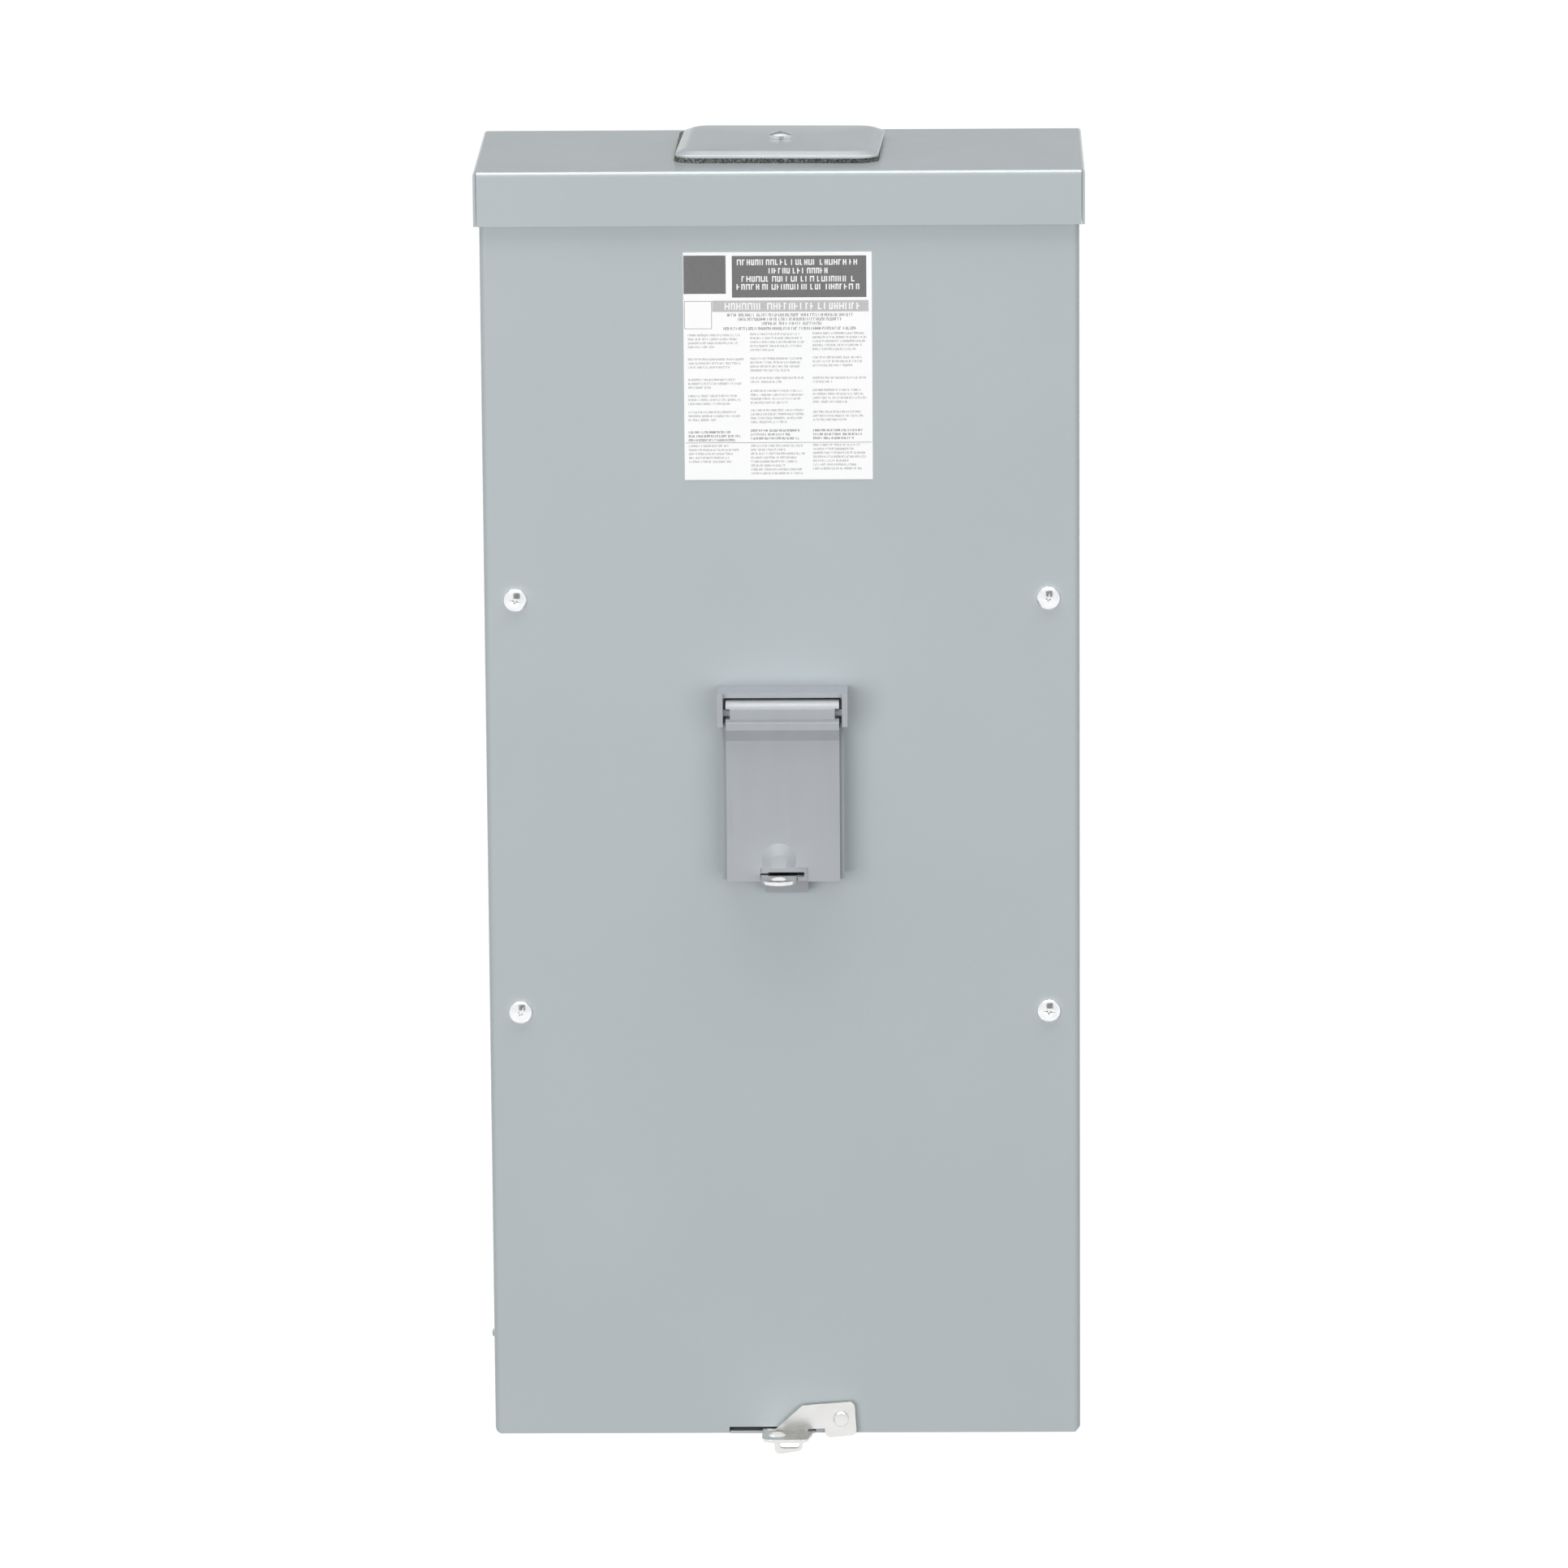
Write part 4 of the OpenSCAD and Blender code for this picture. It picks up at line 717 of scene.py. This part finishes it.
def label_print():
    """Six pieces: the head and the band, the pale print on each, and the dark and the grey print."""
    rng = random.Random(7)
    head = Print(HEAD_INK)
    head.block(0.2, 18.6, 1.4, 18.3)
    head.block(21.3, 79.9, 1.6, 20.0)
    head.done("label_head")

    pale = Print(PALE_INK)
    for y, x0, x1 in HEADER_LINES:
        pale.letters(rng, x0, x1, y, HEAD_TYPE, INK_THICK)
    pale.done("label_head_print")

    band = Print(BAND_INK)
    band.block(12.6, 80.8, 21.3, 26.3)
    band.done("label_band")
    on_band = Print(PALE_INK)
    on_band.letters(rng, 18.0, 78.0, 23.85, BAND_TYPE, INK_THICK)
    on_band.done("label_band_print")

    dark = Print(DARK_INK)
    for y, x0, x1 in BOLD_LINES:
        dark.letters(rng, x0, x1, y, BOLD_TYPE)
    for x, _, (y, lines) in COLUMNS:
        for i in range(lines):
            dark.letters(rng, x, x + COLUMN_W * rng.uniform(0.72, 0.98), y + i * LINE_PITCH, DARK_TYPE)
    dark.block(0.6, 81.8, 84.2, 84.4)
    dark.done("label_dark_print")

    grey = Print(GREY_INK)
    for x0, x1, y0, y1 in ((0.4, 12.4, 21.5, 21.7), (0.4, 12.4, 33.6, 33.8), (0.4, 0.6, 21.7, 33.6),
                           (12.2, 12.4, 21.7, 33.6)):
        grey.block(x0, x1, y0, y1)
    for x, paragraphs, _ in COLUMNS:
        for y, lines in paragraphs:
            for i in range(lines):
                end = rng.uniform(0.86, 1.0) if i < lines - 1 else rng.uniform(0.35, 0.8)
                grey.letters(rng, x, x + COLUMN_W * end, y + i * LINE_PITCH, GREY_TYPE)
    for x, y, lines in LOWER_BLOCKS:
        for i in range(lines):
            end = rng.uniform(0.6, 1.0)
            grey.letters(rng, x, x + COLUMN_W * end, y + i * LINE_PITCH, GREY_TYPE)
    grey.done("label_grey_print")


# The flap's raised boss in the CAD's frame, in millimetres: its middle (x, z) and how far its edges reach,
# and the angle in degrees above which they stay sharp.
BOSS_MIDDLE, BOSS_REACH, BOSS_CRISP = (-1.8, -19.0), 8.9, 14


def keep_boss_crisp(obj):
    """Marks the round edges of the flap's raised boss, so that its cone isn't shaded as flat."""
    mesh = obj.data
    middle, reach = Vector(BOSS_MIDDLE) * MM, BOSS_REACH * MM
    mesh.polygons.foreach_set("use_smooth", [True] * len(mesh.polygons))
    bm = bmesh.new()
    bm.from_mesh(mesh)
    for edge in bm.edges:
        near = all((Vector((v.co.x, v.co.z)) - middle).length < reach for v in edge.verts)
        if near and edge.is_manifold and math.degrees(edge.calc_face_angle()) > BOSS_CRISP:
            edge.smooth = False
    bm.to_mesh(mesh)
    bm.free()


def main():
    set_camera()
    set_stage()
    paint, plastic, zinc, plate = enamel(), satin_plastic(), bright_zinc(), satin_plate()
    moulding, alloy, button, soft, white = thermoset(), tinned_alloy(), red_plastic(), foam(), film()
    # Nodes, how far their edges are rolled in millimetres, their finish, and their material slot.
    for nodes, width, material, slot in (
            (("back_box", "bottom_wall", "rain_hood", "front_cover"), 0.22, paint, "paint"),
            (("side_rivet",), 0.1, paint, "paint"),
            (("flap_frame",), 0.3, plastic, "plastic"),
            (("latch_arm", "bottom_hasp"), 0.28, plate, "plate"),
            (("padlock_tab",), 0.28, bright_plate(), "plate"),
            (("tab_rivets", "latch_rivet", "latch_spacer", "hasp_rivets"), 0.15, plate, "plate"),
            (("clamp_bar", "cover_clip_nuts", "frame_screws"), 0.12, zinc, "zinc"),
            (("mounting_pan", "pan_studs", "pan_nuts", "breaker_screws", "toggle_pin", "neutral_screws",
              "ground_screws"), 0.12, zinc, "zinc"),
            (("label",), 0.04, white, "label"),
            (("breaker_base", "breaker_cover", "breaker_toggle", "neutral_insulator"), 0.4,
             moulding, "moulding"),
            (("trip_button",), 0.25, button, "button"),
            (("line_lugs", "load_lugs", "lug_screws", "neutral_bar", "ground_bar"), 0.2, alloy, "alloy")):
        for node in nodes:
            refined(node, width, material)
    refined("flap", 0.3, plastic, degrees=36, crisp=keep_boss_crisp)
    closing_plate(paint)
    closing_gasket(soft)
    cover_screws(zinc)
    closing_screw(zinc)
    label_print()


main()
